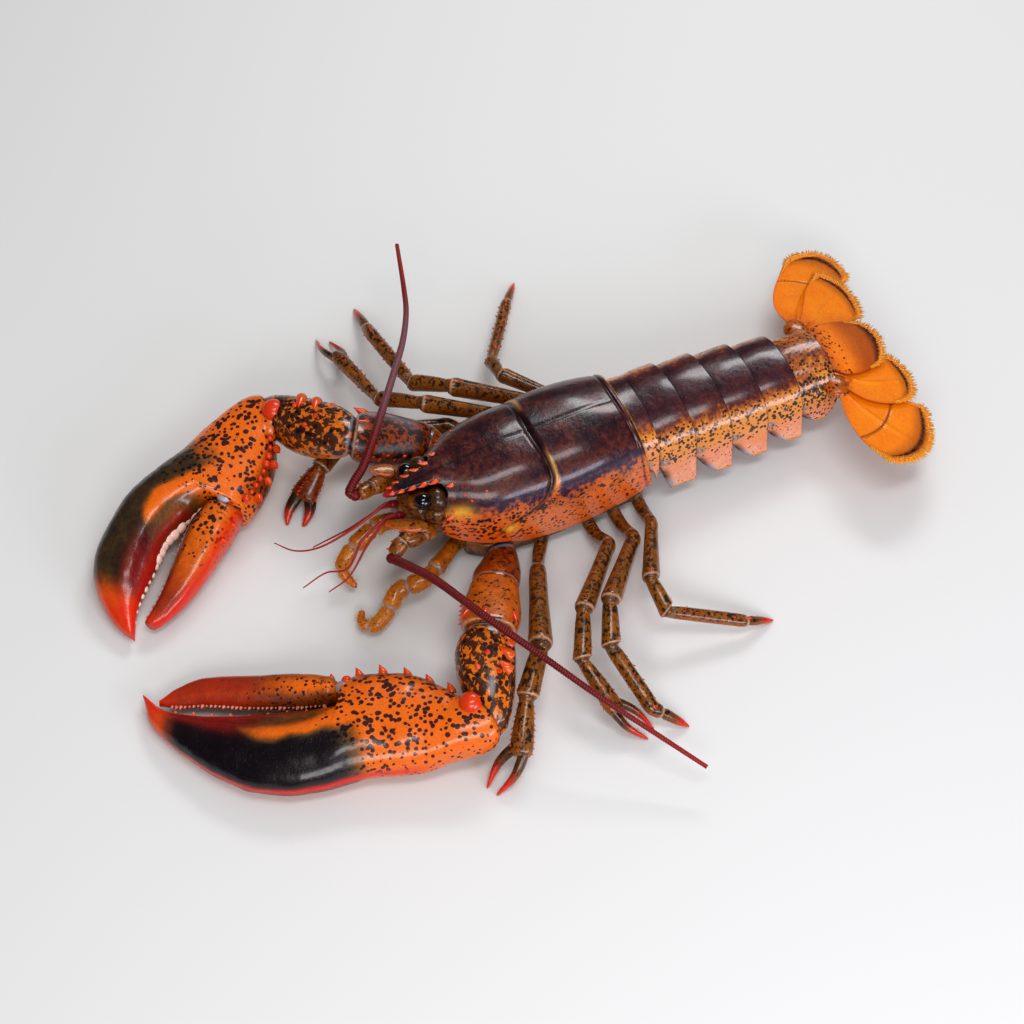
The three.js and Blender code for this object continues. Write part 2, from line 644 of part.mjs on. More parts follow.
function makeTailSegments() {
  const columns = 16;
  TAIL.forEach((part, n) => {
    const rows = 5;
    const outer = [];
    const inner = [];
    for (let r = 0; r < rows; r++) {
      const v = r / (rows - 1);
      const step = n ? 1 - 0.035 * (1 - v) ** 2 : 1; // the front slips under the segment before
      const outerLine = [];
      const innerLine = [];
      for (let c = 0; c <= columns; c++) {
        const q = (2 * c) / columns - 1;
        const down = Math.abs(q);
        const side = Math.sign(q);
        const hang = clamp((down - 0.66) / 0.34, 0, 1);
        const roll = (Math.min(down, 0.66) / 0.66) * (Math.PI / 2);
        const shoulder = part.top - 19;
        const x0 = part.half * step * Math.sin(roll) ** 0.9;
        const z0 = shoulder + (part.top * step - shoulder) * Math.max(Math.cos(roll), 0) ** 0.9;
        const x = lerp(x0, part.tipX, hang * hang);
        const z = lerp(z0, part.tipZ, hang);
        const front = n ? part.from : Math.min(part.from + (CARAPACE.lobe + 0.8) * down * down, part.to - 1);
        const yFlat = lerp(front, part.to, v);
        const narrow = lerp(1, 0.12, hang ** 1.6);
        const y = lerp(part.tipY, yFlat, narrow);
        outerLine.push(new THREE.Vector3(side * x + tailX(y), y, z));
        const inset = hang > 0 ? lerp(3.4, 1.4, hang) : 0;
        const innerX = hang > 0 ? x - inset : x * (part.half - 3.4) / part.half;
        const innerZ = hang > 0 ? Math.min(z, shoulder - 8) : shoulder - 8;
        innerLine.push(new THREE.Vector3(side * innerX + tailX(y), y, innerZ));
      }
      outer.push(outerLine);
      inner.push(innerLine);
    }
    addNode(part.name, slab(outer, inner), PAINT.tail);
  });
}

// Height of the sheet that the tail fan lies on
function fanHeight(x, y) {
  const away = Math.abs(x - tailX(y));
  return FAN.rootZ - FAN.slope * (y - NECK_Y) - FAN.droop * Math.max(0, away - 12);
}

// Plate between two edges in plan, bowed out at its far end, on a layer of the fan
function fanPlate(edgeA, edgeB, bow, layer, crown) {
  const a = smoothPath(edgeA.map(([x, y]) => [x, y, 0]), 8);
  const b = smoothPath(edgeB.map(([x, y]) => [x, y, 0]), 8);
  const columns = 6;
  const outer = [];
  const inner = [];
  a.forEach((pa, r) => {
    const pb = b[r];
    const t = r / (a.length - 1);
    const ahead = new THREE.Vector3().addVectors(pa, pb).divideScalar(2)
      .sub(new THREE.Vector3().addVectors(a[0], b[0]).divideScalar(2)).normalize();
    const thick = FAN.thickness * (1 - 0.45 * t * t);
    const top = [];
    const bottom = [];
    for (let c = 0; c <= columns; c++) {
      const v = c / columns;
      const p = pa.clone().lerp(pb, v);
      if (r) p.addScaledVector(ahead, bow * t ** 3 * (1 - (2 * v - 1) ** 2));
      const z = fanHeight(p.x, p.y) - layer * FAN.layer + crown * (1 - (2 * v - 1) ** 2);
      top.push(new THREE.Vector3(p.x, p.y, z));
      bottom.push(new THREE.Vector3(p.x, p.y, z - thick));
    }
    outer.push(top);
    inner.push(bottom);
  });
  return slab(outer, inner);
}

function makeTailFan() {
  const rootY = NECK_Y + GAP;
  for (const { name, inner, outer, bow, layer, crown } of FAN_PLATES) {
    const edges = [inner, outer].map(([rootX, ...rest]) => [[rootX, rootY], ...rest]);
    addNode(name, fanPlate(edges[0], edges[1], bow, layer, crown), PAINT.fan);
  }
}

// Walking legs

function makeLeg(leg) {
  const root = point(leg.root);
  const hip = point(leg.hip);
  const knee = point(leg.knee);
  const wrist = point(leg.wrist);
  const foot = point(leg.foot);
  const rootPlane = new THREE.Vector3(leg.side, 0, 0);
  const kneePlane = jointPlane(hip, knee, wrist);
  const wristPlane = jointPlane(knee, wrist, foot);

  const thighAxis = new THREE.Vector3().subVectors(knee, hip).normalize();
  const kneeEnd = knee.clone().addScaledVector(thighAxis, -JOINT_GAP / thighAxis.dot(kneePlane));
  const thighPath = [
    root, point(leg.bend), hip,
    hip.clone().lerp(kneeEnd, 0.12), hip.clone().lerp(kneeEnd, 0.5), hip.clone().lerp(kneeEnd, 0.88), kneeEnd,
  ];
  const thigh = limb(thighPath, [
    [3, 3], [3.1, 3.1], [3, 3.3], [3.3, 4], [3.1, 4], [3.2, 4.1], [2.6, 3.2],
  ], { startPlane: rootPlane, endPlane: kneePlane });
  addNode(leg.name + "_thigh", thigh, PAINT.leg);

  const shin = segment(knee, wrist, kneePlane, wristPlane, [
    [0, 2.3, 2.9], [0.25, 2.9, 3.4], [0.75, 3.1, 3.8], [1, 2.7, 3],
  ]);
  addNode(leg.name + "_shin", shin, PAINT.leg);

  const pieces = [];
  const tip = point(leg.tip);
  if (leg.pincer) {
    const thumb = point(leg.thumb);
    const palm = segment(wrist, foot, wristPlane, null, [
      [0, 2.4, 2.7], [0.2, 2.9, 3.3], [0.7, 3.4, 3.1], [1, 3.4, 2.6],
    ]);
    const fingerFrom = foot.clone().lerp(wrist, 0.12);
    pieces.push(palm);
    for (const end of [tip, thumb]) {
      const bowed = fingerFrom.clone().lerp(end, 0.5);
      bowed.addScaledVector(new THREE.Vector3().subVectors(end, end === tip ? thumb : tip).normalize(), 1.2);
      pieces.push(limb([fingerFrom, bowed, end], [[1.9, 2], [1.6, 1.7], [0.6, 0.8]], { sides: 6 }));
    }
  } else {
    const path = [wrist, wrist.clone().lerp(foot, 0.15), wrist.clone().lerp(foot, 0.85), foot];
    const along = new THREE.Vector3().subVectors(foot, wrist).normalize();
    path[0] = wrist.clone().addScaledVector(along, JOINT_GAP / along.dot(wristPlane));
    pieces.push(limb(
      [...path, foot.clone().lerp(tip, 0.2), foot.clone().lerp(tip, 0.6), tip],
      [[2.3, 2.6], [2.6, 3], [2.1, 2.3], [1.8, 2], [1.7, 1.8], [1.2, 1.3], [0.5, 0.8]],
      { startPlane: wristPlane },
    ));
    const over = new THREE.Vector3(0, 0, 1);
    const spur = foot.clone().addScaledVector(over, 1.4);
    pieces.push(spike(spur.toArray(), along.clone().addScaledVector(over, 0.3).toArray(), 3.2, 1));
  }
  addNode(leg.name + "_foot", trimToFloor(fuse(pieces)), PAINT.leg);
}

// Claw arms

function makeArm(arm) {
  const sign = arm.side === "left" ? 1 : -1;
  const root = point(arm.root);
  const hip = point(arm.hip);
  const elbow = point(arm.elbow);
  const wrist = point(arm.wrist);
  const claw = CLAWS.find((c) => c.side === arm.side);
  const frame = clawFrame(claw);
  const hipPlane = jointPlane(point(arm.bend), hip, elbow);
  const elbowPlane = jointPlane(hip, elbow, wrist);
  const wristPlane = wristPlaneOf(claw);

  const lowAxis = new THREE.Vector3().subVectors(hip, point(arm.bend)).normalize();
  const hipEnd = hip.clone().addScaledVector(lowAxis, -JOINT_GAP / lowAxis.dot(hipPlane));
  const low = limb(
    [root, point(arm.bend), point(arm.bend).lerp(hipEnd, 0.5), hipEnd],
    [[5.4, 4.4], [8.6, 5.8], [10.6, 7.2], [10, 7]],
    { sides: 10, startPlane: new THREE.Vector3(sign, 0, 0), endPlane: hipPlane },
  );
  addNode("arm_root_" + arm.side, low, PAINT.claw);

  const upper = segment(hip, elbow, hipPlane, elbowPlane, [
    [0, 10.4, 7.4], [0.25, 11.4, 8.4], [0.6, 12.6, 9.2], [0.8, 12.4, 9], [1, 9, 7],
  ], { sides: 12, square: 2.5 });
  const side = new THREE.Vector3().crossVectors(
    new THREE.Vector3().subVectors(elbow, hip).normalize(), new THREE.Vector3(0, 0, 1),
  ).normalize();
  const ahead = new THREE.Vector3().subVectors(elbow, hip).normalize();
  const upperSpines = [[-1, 6], [1, 6], [0.2, 8.2]].map(([s, rise]) => {
    const at = hip.clone().lerp(elbow, 0.78).addScaledVector(side, s * 9.4);
    at.z += rise;
    const away = ahead.clone().addScaledVector(side, s * 0.5);
    away.z += 0.3;
    return spike(at.toArray(), away.toArray(), 4.6, 1.8);
  });
  addNode("arm_upper_" + arm.side, fuse([upper, ...upperSpines]), PAINT.claw);

  const lower = segment(elbow, wrist, elbowPlane, wristPlane, [
    [0, 8.6, 6.8], [0.2, 11.4, 9.8], [0.6, 12.2, 11], [1, 7.6, 7.4],
  ], { sides: 12, square: 2.4 });
  const inward = new THREE.Vector3(-sign, 0, 0);
  const lowerSpines = [[0.2, 5.4], [0.38, 7.6], [0.56, 8], [0.7, 4]].map(([t, rise]) => {
    const at = elbow.clone().lerp(wrist, t).addScaledVector(side, sign * -8.8);
    at.z += rise;
    const away = frame.along.clone().multiplyScalar(0.6).addScaledVector(inward, 0.5);
    away.z += 0.5;
    return spike(at.toArray(), away.toArray(), 3.8, 1.7);
  });
  addNode("arm_lower_" + arm.side, fuse([lower, ...lowerSpines]), PAINT.claw);
}

// Claws

// Directions of a claw's own frame, and the world point at (along, across, height)
function clawFrame(claw) {
  const origin = new THREE.Vector3(claw.wrist[0], claw.wrist[1], 0);
  const along = new THREE.Vector3(claw.tip[0], claw.tip[1], 0).sub(origin).normalize();
  const across = new THREE.Vector3(-along.y, along.x, 0).multiplyScalar(claw.inner);
  const at = (u, v, z) => {
    const p = origin.clone().addScaledVector(along, u).addScaledVector(across, v);
    p.z = z;
    return p;
  };
  return { origin, along, across, at };
}

// Plane at the wrist, half way between the arm's direction and the claw's
function wristPlaneOf(claw) {
  const arm = ARMS.find((a) => a.side === claw.side);
  const wrist = point(arm.wrist);
  return jointPlane(point(arm.elbow).setZ(wrist.z), wrist, wrist.clone().add(clawFrame(claw).along));
}

// Ring at one station of a claw between its two edges
function clawRing(frame, u, low, high, centre, depth, sides) {
  const middle = (low + high) / 2;
  const half = Math.max((high - low) / 2, 0.35);
  return Array.from({ length: sides }, (_, k) => {
    const angle = (k / sides) * 2 * Math.PI;
    const c = Math.cos(angle);
    const s = Math.sin(angle);
    return frame.at(
      u,
      middle + half * Math.sign(c) * Math.abs(c) ** 0.85,
      centre + depth * Math.sign(s) * Math.abs(s) ** 0.85,
    );
  });
}

function makeClaw(claw) {
  const frame = clawFrame(claw);
  const end = claw.palmOuter[claw.palmOuter.length - 1][0];
  const split = claw.split;
  const innerEdge = (u) => (u <= split ? profile(claw.palmInner, u) : profile(claw.fingerInner, u));
  const centreAt = (u) => profile(claw.centre, u) - 0.5;
  const depthAt = (u) => profile(claw.depth, u);

  const stations = [9, 16, 26, 38, 50 * (split / 62.4), split - 0.5, split + 0.5];
  const fingerSteps = 9;
  for (let i = 1; i <= fingerSteps; i++) {
    stations.push(lerp(split + 0.5, end, 1 - (1 - i / fingerSteps) ** 1.25));
  }
  const rings = stations.map((u) => (
    clawRing(frame, u, profile(claw.palmOuter, u), innerEdge(u), centreAt(u), depthAt(u), 16)
  ));
  const plane = wristPlaneOf(claw);
  const start = frame.at(0, 0, centreAt(0));
  const root = clawRing(frame, 0, -7.4, 7, centreAt(0), depthAt(0), 16);
  for (const p of root) {
    const offset = JOINT_GAP - p.clone().sub(start).dot(plane);
    p.addScaledVector(frame.along, offset / frame.along.dot(plane));
  }
  const palm = ringLoft([root, ...rings]);

  const pieces = [palm];
  for (const [u, v] of claw.spines) {
    const at = frame.at(u, v - 1.2, centreAt(u) + depthAt(u) * 0.35);
    const away = frame.across.clone().addScaledVector(frame.along, 0.35);
    away.z += 0.45;
    pieces.push(spike(at.toArray(), away.toArray(), 4.4, 2));
  }
  const { count, from, to, radius, height } = claw.teeth;
  const inward = frame.across;
  for (let i = 0; i < count; i++) {
    const u = lerp(from, to, i / (count - 1));
    const v = profile(claw.fingerInner, u);
    pieces.push(toothAt(claw, frame.at(u, v - 0.6, centreAt(u)), inward, radius, height));
  }
  addNode("claw_palm_" + claw.side, trimToFloor(fuse(pieces)), PAINT.claw);

  const first = claw.dactylInner[0][0];
  const last = claw.dactylInner[claw.dactylInner.length - 1][0];
  const dactylSteps = 10;
  const dactylRings = Array.from({ length: dactylSteps + 1 }, (_, i) => {
    const u = lerp(first, last, 1 - (1 - i / dactylSteps) ** 1.25);
    const depth = depthAt(u) * claw.dactylDepth * lerp(1, 0.72, i / dactylSteps) - 0.4;
    return clawRing(
      frame, u, profile(claw.dactylInner, u), profile(claw.dactylOuter, u),
      centreAt(u) + 0.6, depth, 12,
    );
  });
  const dactylPieces = [ringLoft(dactylRings)];
  for (const [u, v] of claw.dactylSpines) {
    const away = frame.across.clone();
    away.z += 0.4;
    dactylPieces.push(spike(frame.at(u, v - 1, centreAt(u) + depthAt(u) * 0.35).toArray(), away.toArray(), 2.6, 1.7));
  }
  const outward = frame.across.clone().negate();
  for (let i = 0; i < count - 1; i++) {
    const u = lerp(from + 3, to - 6, i / (count - 2));
    const v = profile(claw.dactylInner, u);
    dactylPieces.push(toothAt(claw, frame.at(u, v + 0.6, centreAt(u) + 0.6), outward, radius * 0.8, height * 0.55));
  }
  addNode("claw_finger_" + claw.side, trimToFloor(fuse(dactylPieces)), PAINT.claw);
}

// Sharp tooth on the cutting claw, low molar on the crushing one
function toothAt(claw, at, direction, radius, height) {
  if (claw.side === "left") return spike(at.toArray(), direction.toArray(), height, radius);
  const centre = at.clone().addScaledVector(direction, height - radius);
  return knob(centre.toArray(), radius);
}

makeCarapace();
makeThorax();
makeHead();
makeEyes();
makeAntennae();
makeAntennules();
makeMaxillipeds();
makeTailSegments();
makeTailFan();
LEGS.forEach(makeLeg);
ARMS.forEach(makeArm);
CLAWS.forEach(makeClaw);

// Origin at the middle of the underside of the box
const box = new THREE.Box3().setFromObject(lobster);
const middle = box.getCenter(new THREE.Vector3());
lobster.position.set(-middle.x, -middle.y, -box.min.z);

export default lobster;
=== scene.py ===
import bpy
import numpy as np
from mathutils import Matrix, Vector


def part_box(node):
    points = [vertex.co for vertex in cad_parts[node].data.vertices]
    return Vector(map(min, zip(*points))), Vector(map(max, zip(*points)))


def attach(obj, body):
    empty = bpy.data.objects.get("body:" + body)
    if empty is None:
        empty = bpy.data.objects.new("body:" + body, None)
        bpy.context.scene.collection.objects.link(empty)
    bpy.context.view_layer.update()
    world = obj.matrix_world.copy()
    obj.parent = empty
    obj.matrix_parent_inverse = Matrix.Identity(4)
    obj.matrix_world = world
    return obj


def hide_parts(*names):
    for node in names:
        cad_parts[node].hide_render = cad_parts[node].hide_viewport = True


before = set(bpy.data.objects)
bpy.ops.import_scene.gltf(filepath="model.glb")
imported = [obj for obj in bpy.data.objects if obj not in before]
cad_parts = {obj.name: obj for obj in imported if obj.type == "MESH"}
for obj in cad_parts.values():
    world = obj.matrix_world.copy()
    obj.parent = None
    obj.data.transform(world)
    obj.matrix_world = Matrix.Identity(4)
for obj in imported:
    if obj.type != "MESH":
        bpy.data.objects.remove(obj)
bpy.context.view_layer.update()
rng = np.random.default_rng(11)

# Shapes are worked out in the lobster's own frame: millimetres, head towards -y, its left at +x,
# y = 0 at the rear edge of the carapace on the midline, z = 0 on the floor.
millimetre = 0.001
chestRear = 4.0  # the chest underside ends this far behind y = 0
chestLow, chestHigh = (np.array(corner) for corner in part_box("thorax"))
bodyOrigin = np.array([
    (chestLow[0] + chestHigh[0]) / 2, chestHigh[1] - chestRear * millimetre, chestLow[2],
])


def place(points):
    # own frame in millimetres to the row frame in metres
    return np.asarray(points, float) * millimetre + bodyOrigin


# Numbers and curves

def smooth(low, high, x):
    # 0 below low, 1 above high, an S curve between
    t = np.clip((np.asarray(x, float) - low) / (high - low), 0, 1)
    return t * t * (3 - 2 * t)


def bump(x, reach):
    # bell curve: 1 at 0, about a third at reach
    return np.exp(-(np.asarray(x, float) / reach) ** 2)


def unit(vectors):
    # each vector divided by its length
    return vectors / np.maximum(np.linalg.norm(vectors, axis=-1, keepdims=True), 1e-9)


def profile(pairs, t):
    # cubic through [t, value] pairs, with each slope taken from the neighbours on both sides
    x, y = np.array(pairs, float).T
    last = len(x) - 1
    k = np.arange(last + 1)
    low, high = np.maximum(k - 1, 0), np.minimum(k + 1, last)
    slope = (y[high] - y[low]) / (x[high] - x[low])
    t = np.clip(np.asarray(t, float), x[0], x[-1])
    i = np.clip(np.searchsorted(x, t, "right") - 1, 0, last - 1)
    step = x[i + 1] - x[i]
    s = (t - x[i]) / step
    h = s * s * (3 - 2 * s)
    lean = s * (1 - s) ** 2 * slope[i] - s * s * (1 - s) * slope[i + 1]
    return y[i] * (1 - h) + y[i + 1] * h + step * lean


def walked(path, power=1):
    # sum of the distances between the points so far, each raised to a power
    return np.concatenate([[0], np.cumsum(np.linalg.norm(np.diff(path, axis=0), axis=1) ** power)])


def readAt(points, places, known=None):
    # linear interpolation of x, y and z at places, which count in points unless known says where
    known = np.arange(len(points)) if known is None else known
    return np.stack([np.interp(places, known, points[:, k]) for k in range(3)], 1)


def smoothCurve(points, count):
    # centripetal Catmull-Rom curve through the points, read at even steps of its length
    p = np.array(points, float)
    p = np.vstack([2 * p[0] - p[1], p, 2 * p[-1] - p[-2]])
    knots = walked(p, 0.5)
    spans = len(points) - 1
    u = np.linspace(0, spans, spans * 30 + 1)
    seg = np.minimum(u.astype(int), spans - 1)
    t = knots[seg + 1] + (u - seg) * (knots[seg + 2] - knots[seg + 1])
    ends = [(p[seg + j], knots[seg + j]) for j in range(4)]

    def blend(a, b, low, high):
        w = ((t - low) / (high - low))[:, None]
        return a * (1 - w) + b * w

    first = [blend(ends[j][0], ends[j + 1][0], ends[j][1], ends[j + 1][1]) for j in range(3)]
    second = [blend(first[j], first[j + 1], ends[j][1], ends[j + 2][1]) for j in range(2)]
    curve = blend(second[0], second[1], ends[1][1], ends[2][1])
    return evenly(curve, count)


def evenly(path, count):
    # the same path with its points at equal distances
    known = walked(path)
    return readAt(path, np.linspace(0, known[-1], count), known)


def wobble(points, size, seed):
    # soft random value from -1 to 1 at each point: a sum of sine waves in random directions
    draw = np.random.default_rng(seed)
    waves = unit(draw.normal(size=(9, 3))) * (2 * np.pi / size) * draw.uniform(0.6, 1.6, (9, 1))
    return np.sin(points @ waves.T + draw.uniform(0, 2 * np.pi, 9)).mean(axis=-1) * 1.6


# Meshes: a patch is a dictionary of points, quads, triangles and one value per point for each mark

marks = ("tone", "tint", "fleck", "mottle", "dark", "pale", "cool")


def spread(values, shape):
    # every value as a full grid of the given shape
    return {key: np.broadcast_to(np.asarray(value, float), shape) for key, value in values.items()}


def gridQuads(rows, columns, wrap):
    # corners of the quads between the rows of a grid; wrap closes each row to a ring
    r = np.arange(rows - 1)[:, None]
    c = np.arange(columns if wrap else columns - 1)[None, :]
    a = r * columns + c
    b = r * columns + (c + 1) % columns
    return np.stack([a, b, b + columns, a + columns], axis=-1).reshape(-1, 4)


def gridNormals(grid, wrap=False):
    # cross product of the two directions of the grid
    down = np.gradient(grid, axis=0)
    if wrap:
        across = np.roll(grid, -1, axis=1) - np.roll(grid, 1, axis=1)
    else:
        across = np.gradient(grid, axis=1)
    return unit(np.cross(down, across))


def slab(outer, inner, **values):
    # closed plate between two grids of the same size, with a rim joining their borders
    rows, columns = outer.shape[:2]
    half = rows * columns
    top = gridQuads(rows, columns, False)
    c = np.arange(columns - 1)
    r = np.arange(rows - 1) * columns
    end = (rows - 1) * columns
    right = r + columns - 1
    rims = [
        np.stack([c + 1, c, c + half, c + 1 + half], 1),
        np.stack([end + c, end + c + 1, end + c + 1 + half, end + c + half], 1),
        np.stack([r, r + columns, r + columns + half, r + half], 1),
        np.stack([right + columns, right, right + half, right + columns + half], 1),
    ]
    spreadValues = spread(values, outer.shape[:2])
    return {
        "points": np.vstack([outer.reshape(-1, 3), inner.reshape(-1, 3)]),
        "quads": np.vstack([top, top[:, ::-1] + half, *rims]),
        "triangles": np.empty((0, 3), int),
        **{key: np.concatenate([v.ravel(), v.ravel()]) for key, v in spreadValues.items()},
    }


def endFans(rows, columns, hub):
    # triangles from the first ring to point hub and from the last ring to the point after it
    c = np.arange(columns)
    n = (c + 1) % columns
    end = (rows - 1) * columns
    return np.vstack([
        np.stack([n, c, np.full(columns, hub)], 1),
        np.stack([end + c, end + n, np.full(columns, hub + 1)], 1),
    ])


def loft(rings, **values):
    # closed skin over a stack of rings, each end closed by a fan to its middle
    rows, columns = rings.shape[:2]
    spreadValues = spread(values, rings.shape[:2])
    return {
        "points": np.vstack([rings.reshape(-1, 3), rings[0].mean(0), rings[-1].mean(0)]),
        "quads": gridQuads(rows, columns, True),
        "triangles": endFans(rows, columns, rows * columns),
        **{
            key: np.concatenate([v.ravel(), [v[0].mean(), v[-1].mean()]])
            for key, v in spreadValues.items()
        },
    }


# share of a spike's length that lies below its root, and the power by which it thins
spikeBuried, spikeTaper = 0.35, 1.3


def spikes(base, direction, length, radius, sides=7, levels=5, curve=0.0, toward=(0, 0, 1), **values):
    # many tapered cones at once: rings shrink along each axis, which may curve towards one side
    base = np.atleast_2d(np.asarray(base, float))
    count = len(base)
    axis = unit(np.broadcast_to(np.asarray(direction, float), (count, 3)))
    length = np.broadcast_to(np.asarray(length, float), (count,))[:, None, None]
    radius = np.broadcast_to(np.asarray(radius, float), (count,))[:, None, None]
    helper = np.where(np.abs(axis[:, 2:]) > 0.9, [[1.0, 0, 0]], [[0, 0, 1.0]])
    sideA = unit(np.cross(axis, helper))
    sideB = np.cross(axis, sideA)
    share = np.linspace(-spikeBuried, 1, levels + 1)[:-1]
    angle = np.arange(sides) / sides * 2 * np.pi
    bend = curve * np.maximum(share, 0)[None, :, None] ** 2 * length
    bendAxis = unit(np.broadcast_to(np.asarray(toward, float), (count, 3)))[:, None]
    centre = base[:, None] + axis[:, None] * (share[None, :, None] * length) + bendAxis * bend
    thin = np.clip(1 - np.maximum(share, 0) ** spikeTaper, 0, 1)[None, :, None, None] * radius[..., None]
    ring = sideA[:, None, None] * np.cos(angle)[None, None, :, None]
    ring = ring + sideB[:, None, None] * np.sin(angle)[None, None, :, None]
    points = centre[:, :, None] + ring * thin
    tips = base + axis * length[:, 0] + bendAxis[:, 0] * curve * length[:, 0]
    each = levels * sides + 2
    full = np.concatenate([points.reshape(count, -1, 3), centre[:, :1], tips[:, None]], axis=1)
    quads = gridQuads(levels, sides, True)
    fans = endFans(levels, sides, each - 2)
    shift = (np.arange(count) * each)[:, None, None]
    along = np.concatenate([np.repeat(np.maximum(share, 0), sides), [0, 1]])
    patch = {
        "points": full.reshape(-1, 3),
        "quads": (quads[None] + shift).reshape(-1, 4),
        "triangles": (fans[None] + shift).reshape(-1, 3),
    }
    for key, value in values.items():
        low, high = value if isinstance(value, tuple) else (value, value)
        patch[key] = np.tile(low + (high - low) * along, count)
    return patch


def ball(centre, radius, stretch=(1, 1, 1), rows=18, columns=26, **values):
    # sphere from latitude and longitude, stretched along the three axes
    poleGap = 0.02
    lat = np.linspace(poleGap, np.pi - poleGap, rows)[:, None]
    lon = np.linspace(0, 2 * np.pi, columns, endpoint=False)[None, :]
    grid = np.stack([
        np.sin(lat) * np.cos(lon), np.sin(lat) * np.sin(lon), np.cos(lat) * np.ones_like(lon),
    ], axis=-1)
    return loft(np.asarray(centre) + grid * radius * np.asarray(stretch), **values)


def tubeRings(path, wide, tall, sides=24, up=(0, 0, 1), square=2.0, startPlane=None, endPlane=None):
    # rings of superellipse section along a path; towards an end they lean into the joint's plane
    along = unit(np.gradient(path, axis=0))
    across = unit(np.cross(along, np.broadcast_to(np.asarray(up, float), along.shape)))
    high = np.cross(across, along)
    angle = (np.arange(sides) + 0.5) / sides * 2 * np.pi
    c = np.sign(np.cos(angle)) * np.abs(np.cos(angle)) ** (2 / square)
    s = np.sign(np.sin(angle)) * np.abs(np.sin(angle)) ** (2 / square)
    wide = np.broadcast_to(wide, (len(path),))[:, None, None]
    tall = np.broadcast_to(tall, (len(path),))[:, None, None]
    away = across[:, None] * wide * c[None, :, None] + high[:, None] * tall * s[None, :, None]
    steps = walked(path)
    lean = np.zeros(away.shape[:2])
    reach, leastSlope = 2.4 * wide.max(), 0.2
    for plane, distance in ((startPlane, steps), (endPlane, steps[-1] - steps)):
        if plane is None:
            continue
        slope = (along @ plane)[:, None]
        slope = np.where(np.abs(slope) < leastSlope, leastSlope, slope)
        lean -= (away @ plane) / slope * np.clip(1 - distance / reach, 0, 1)[:, None]
    return path[:, None] + away + along[:, None] * lean[..., None]


def join(patches):
    # all patches as one mesh; the sum of a . (b x c) over a patch's triangles is its volume six
    # times, and a patch where it is negative is turned inside out
    points, quads, triangles = [], [], []
    values = {key: [] for key in marks}
    start = 0
    for patch in patches:
        p, q, t = patch["points"], patch["quads"], patch["triangles"]
        corners = np.vstack([q[:, :3], q[:, [0, 2, 3]], t])
        volume = np.einsum("ij,ij->i", p[corners[:, 0]], np.cross(p[corners[:, 1]], p[corners[:, 2]])).sum()
        if volume < 0:
            q, t = q[:, ::-1], t[:, ::-1]
        points.append(p)
        quads.append(q + start)
        triangles.append(t + start)
        for key in marks:
            values[key].append(np.broadcast_to(patch.get(key, 0.0), (len(p),)))
        start += len(p)
    return (
        np.vstack(points), np.vstack(quads), np.vstack(triangles),
        {key: np.concatenate(v) for key, v in values.items()},
    )


def makePiece(name, patches, material, nodes):
    # one mesh object from closed patches, all faces outwards and nothing below the floor
    floorGap = 0.05
    points, quads, triangles, values = join(patches)
    points[:, 2] = np.maximum(points[:, 2], floorGap)
    mesh = bpy.data.meshes.new(name)
    mesh.vertices.add(len(points))
    mesh.vertices.foreach_set("co", place(points).astype(np.float32).ravel())
    loops = np.concatenate([quads.ravel(), triangles.ravel()]).astype(np.int32)
    mesh.loops.add(len(loops))
    mesh.loops.foreach_set("vertex_index", loops)
    starts = np.concatenate([np.arange(len(quads)) * 4, len(quads) * 4 + np.arange(len(triangles)) * 3])
    mesh.polygons.add(len(starts))
    mesh.polygons.foreach_set("loop_start", starts.astype(np.int32))
    mesh.update(calc_edges=True)
    mesh.validate()
    mesh.polygons.foreach_set("use_smooth", np.ones(len(mesh.polygons), bool))
    for key, value in values.items():
        layer = mesh.attributes.new(key, "FLOAT", "POINT")
        layer.data.foreach_set("value", value.astype(np.float32))
    mesh.materials.append(material)
    piece = bpy.data.objects.new(name, mesh)
    bpy.context.scene.collection.objects.link(piece)
    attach(piece, "root")
    if nodes:
        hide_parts(*nodes)
    print("made", name, len(quads) * 2 + len(triangles), "triangles")
    return piece


# Materials

def linear(code):
    # sRGB code such as "c4501c" to linear light
    values = [int(code[i:i + 2], 16) / 255 for i in (0, 2, 4)]
    return [v / 12.92 if v <= 0.04045 else ((v + 0.055) / 1.055) ** 2.4 for v in values] + [1.0]


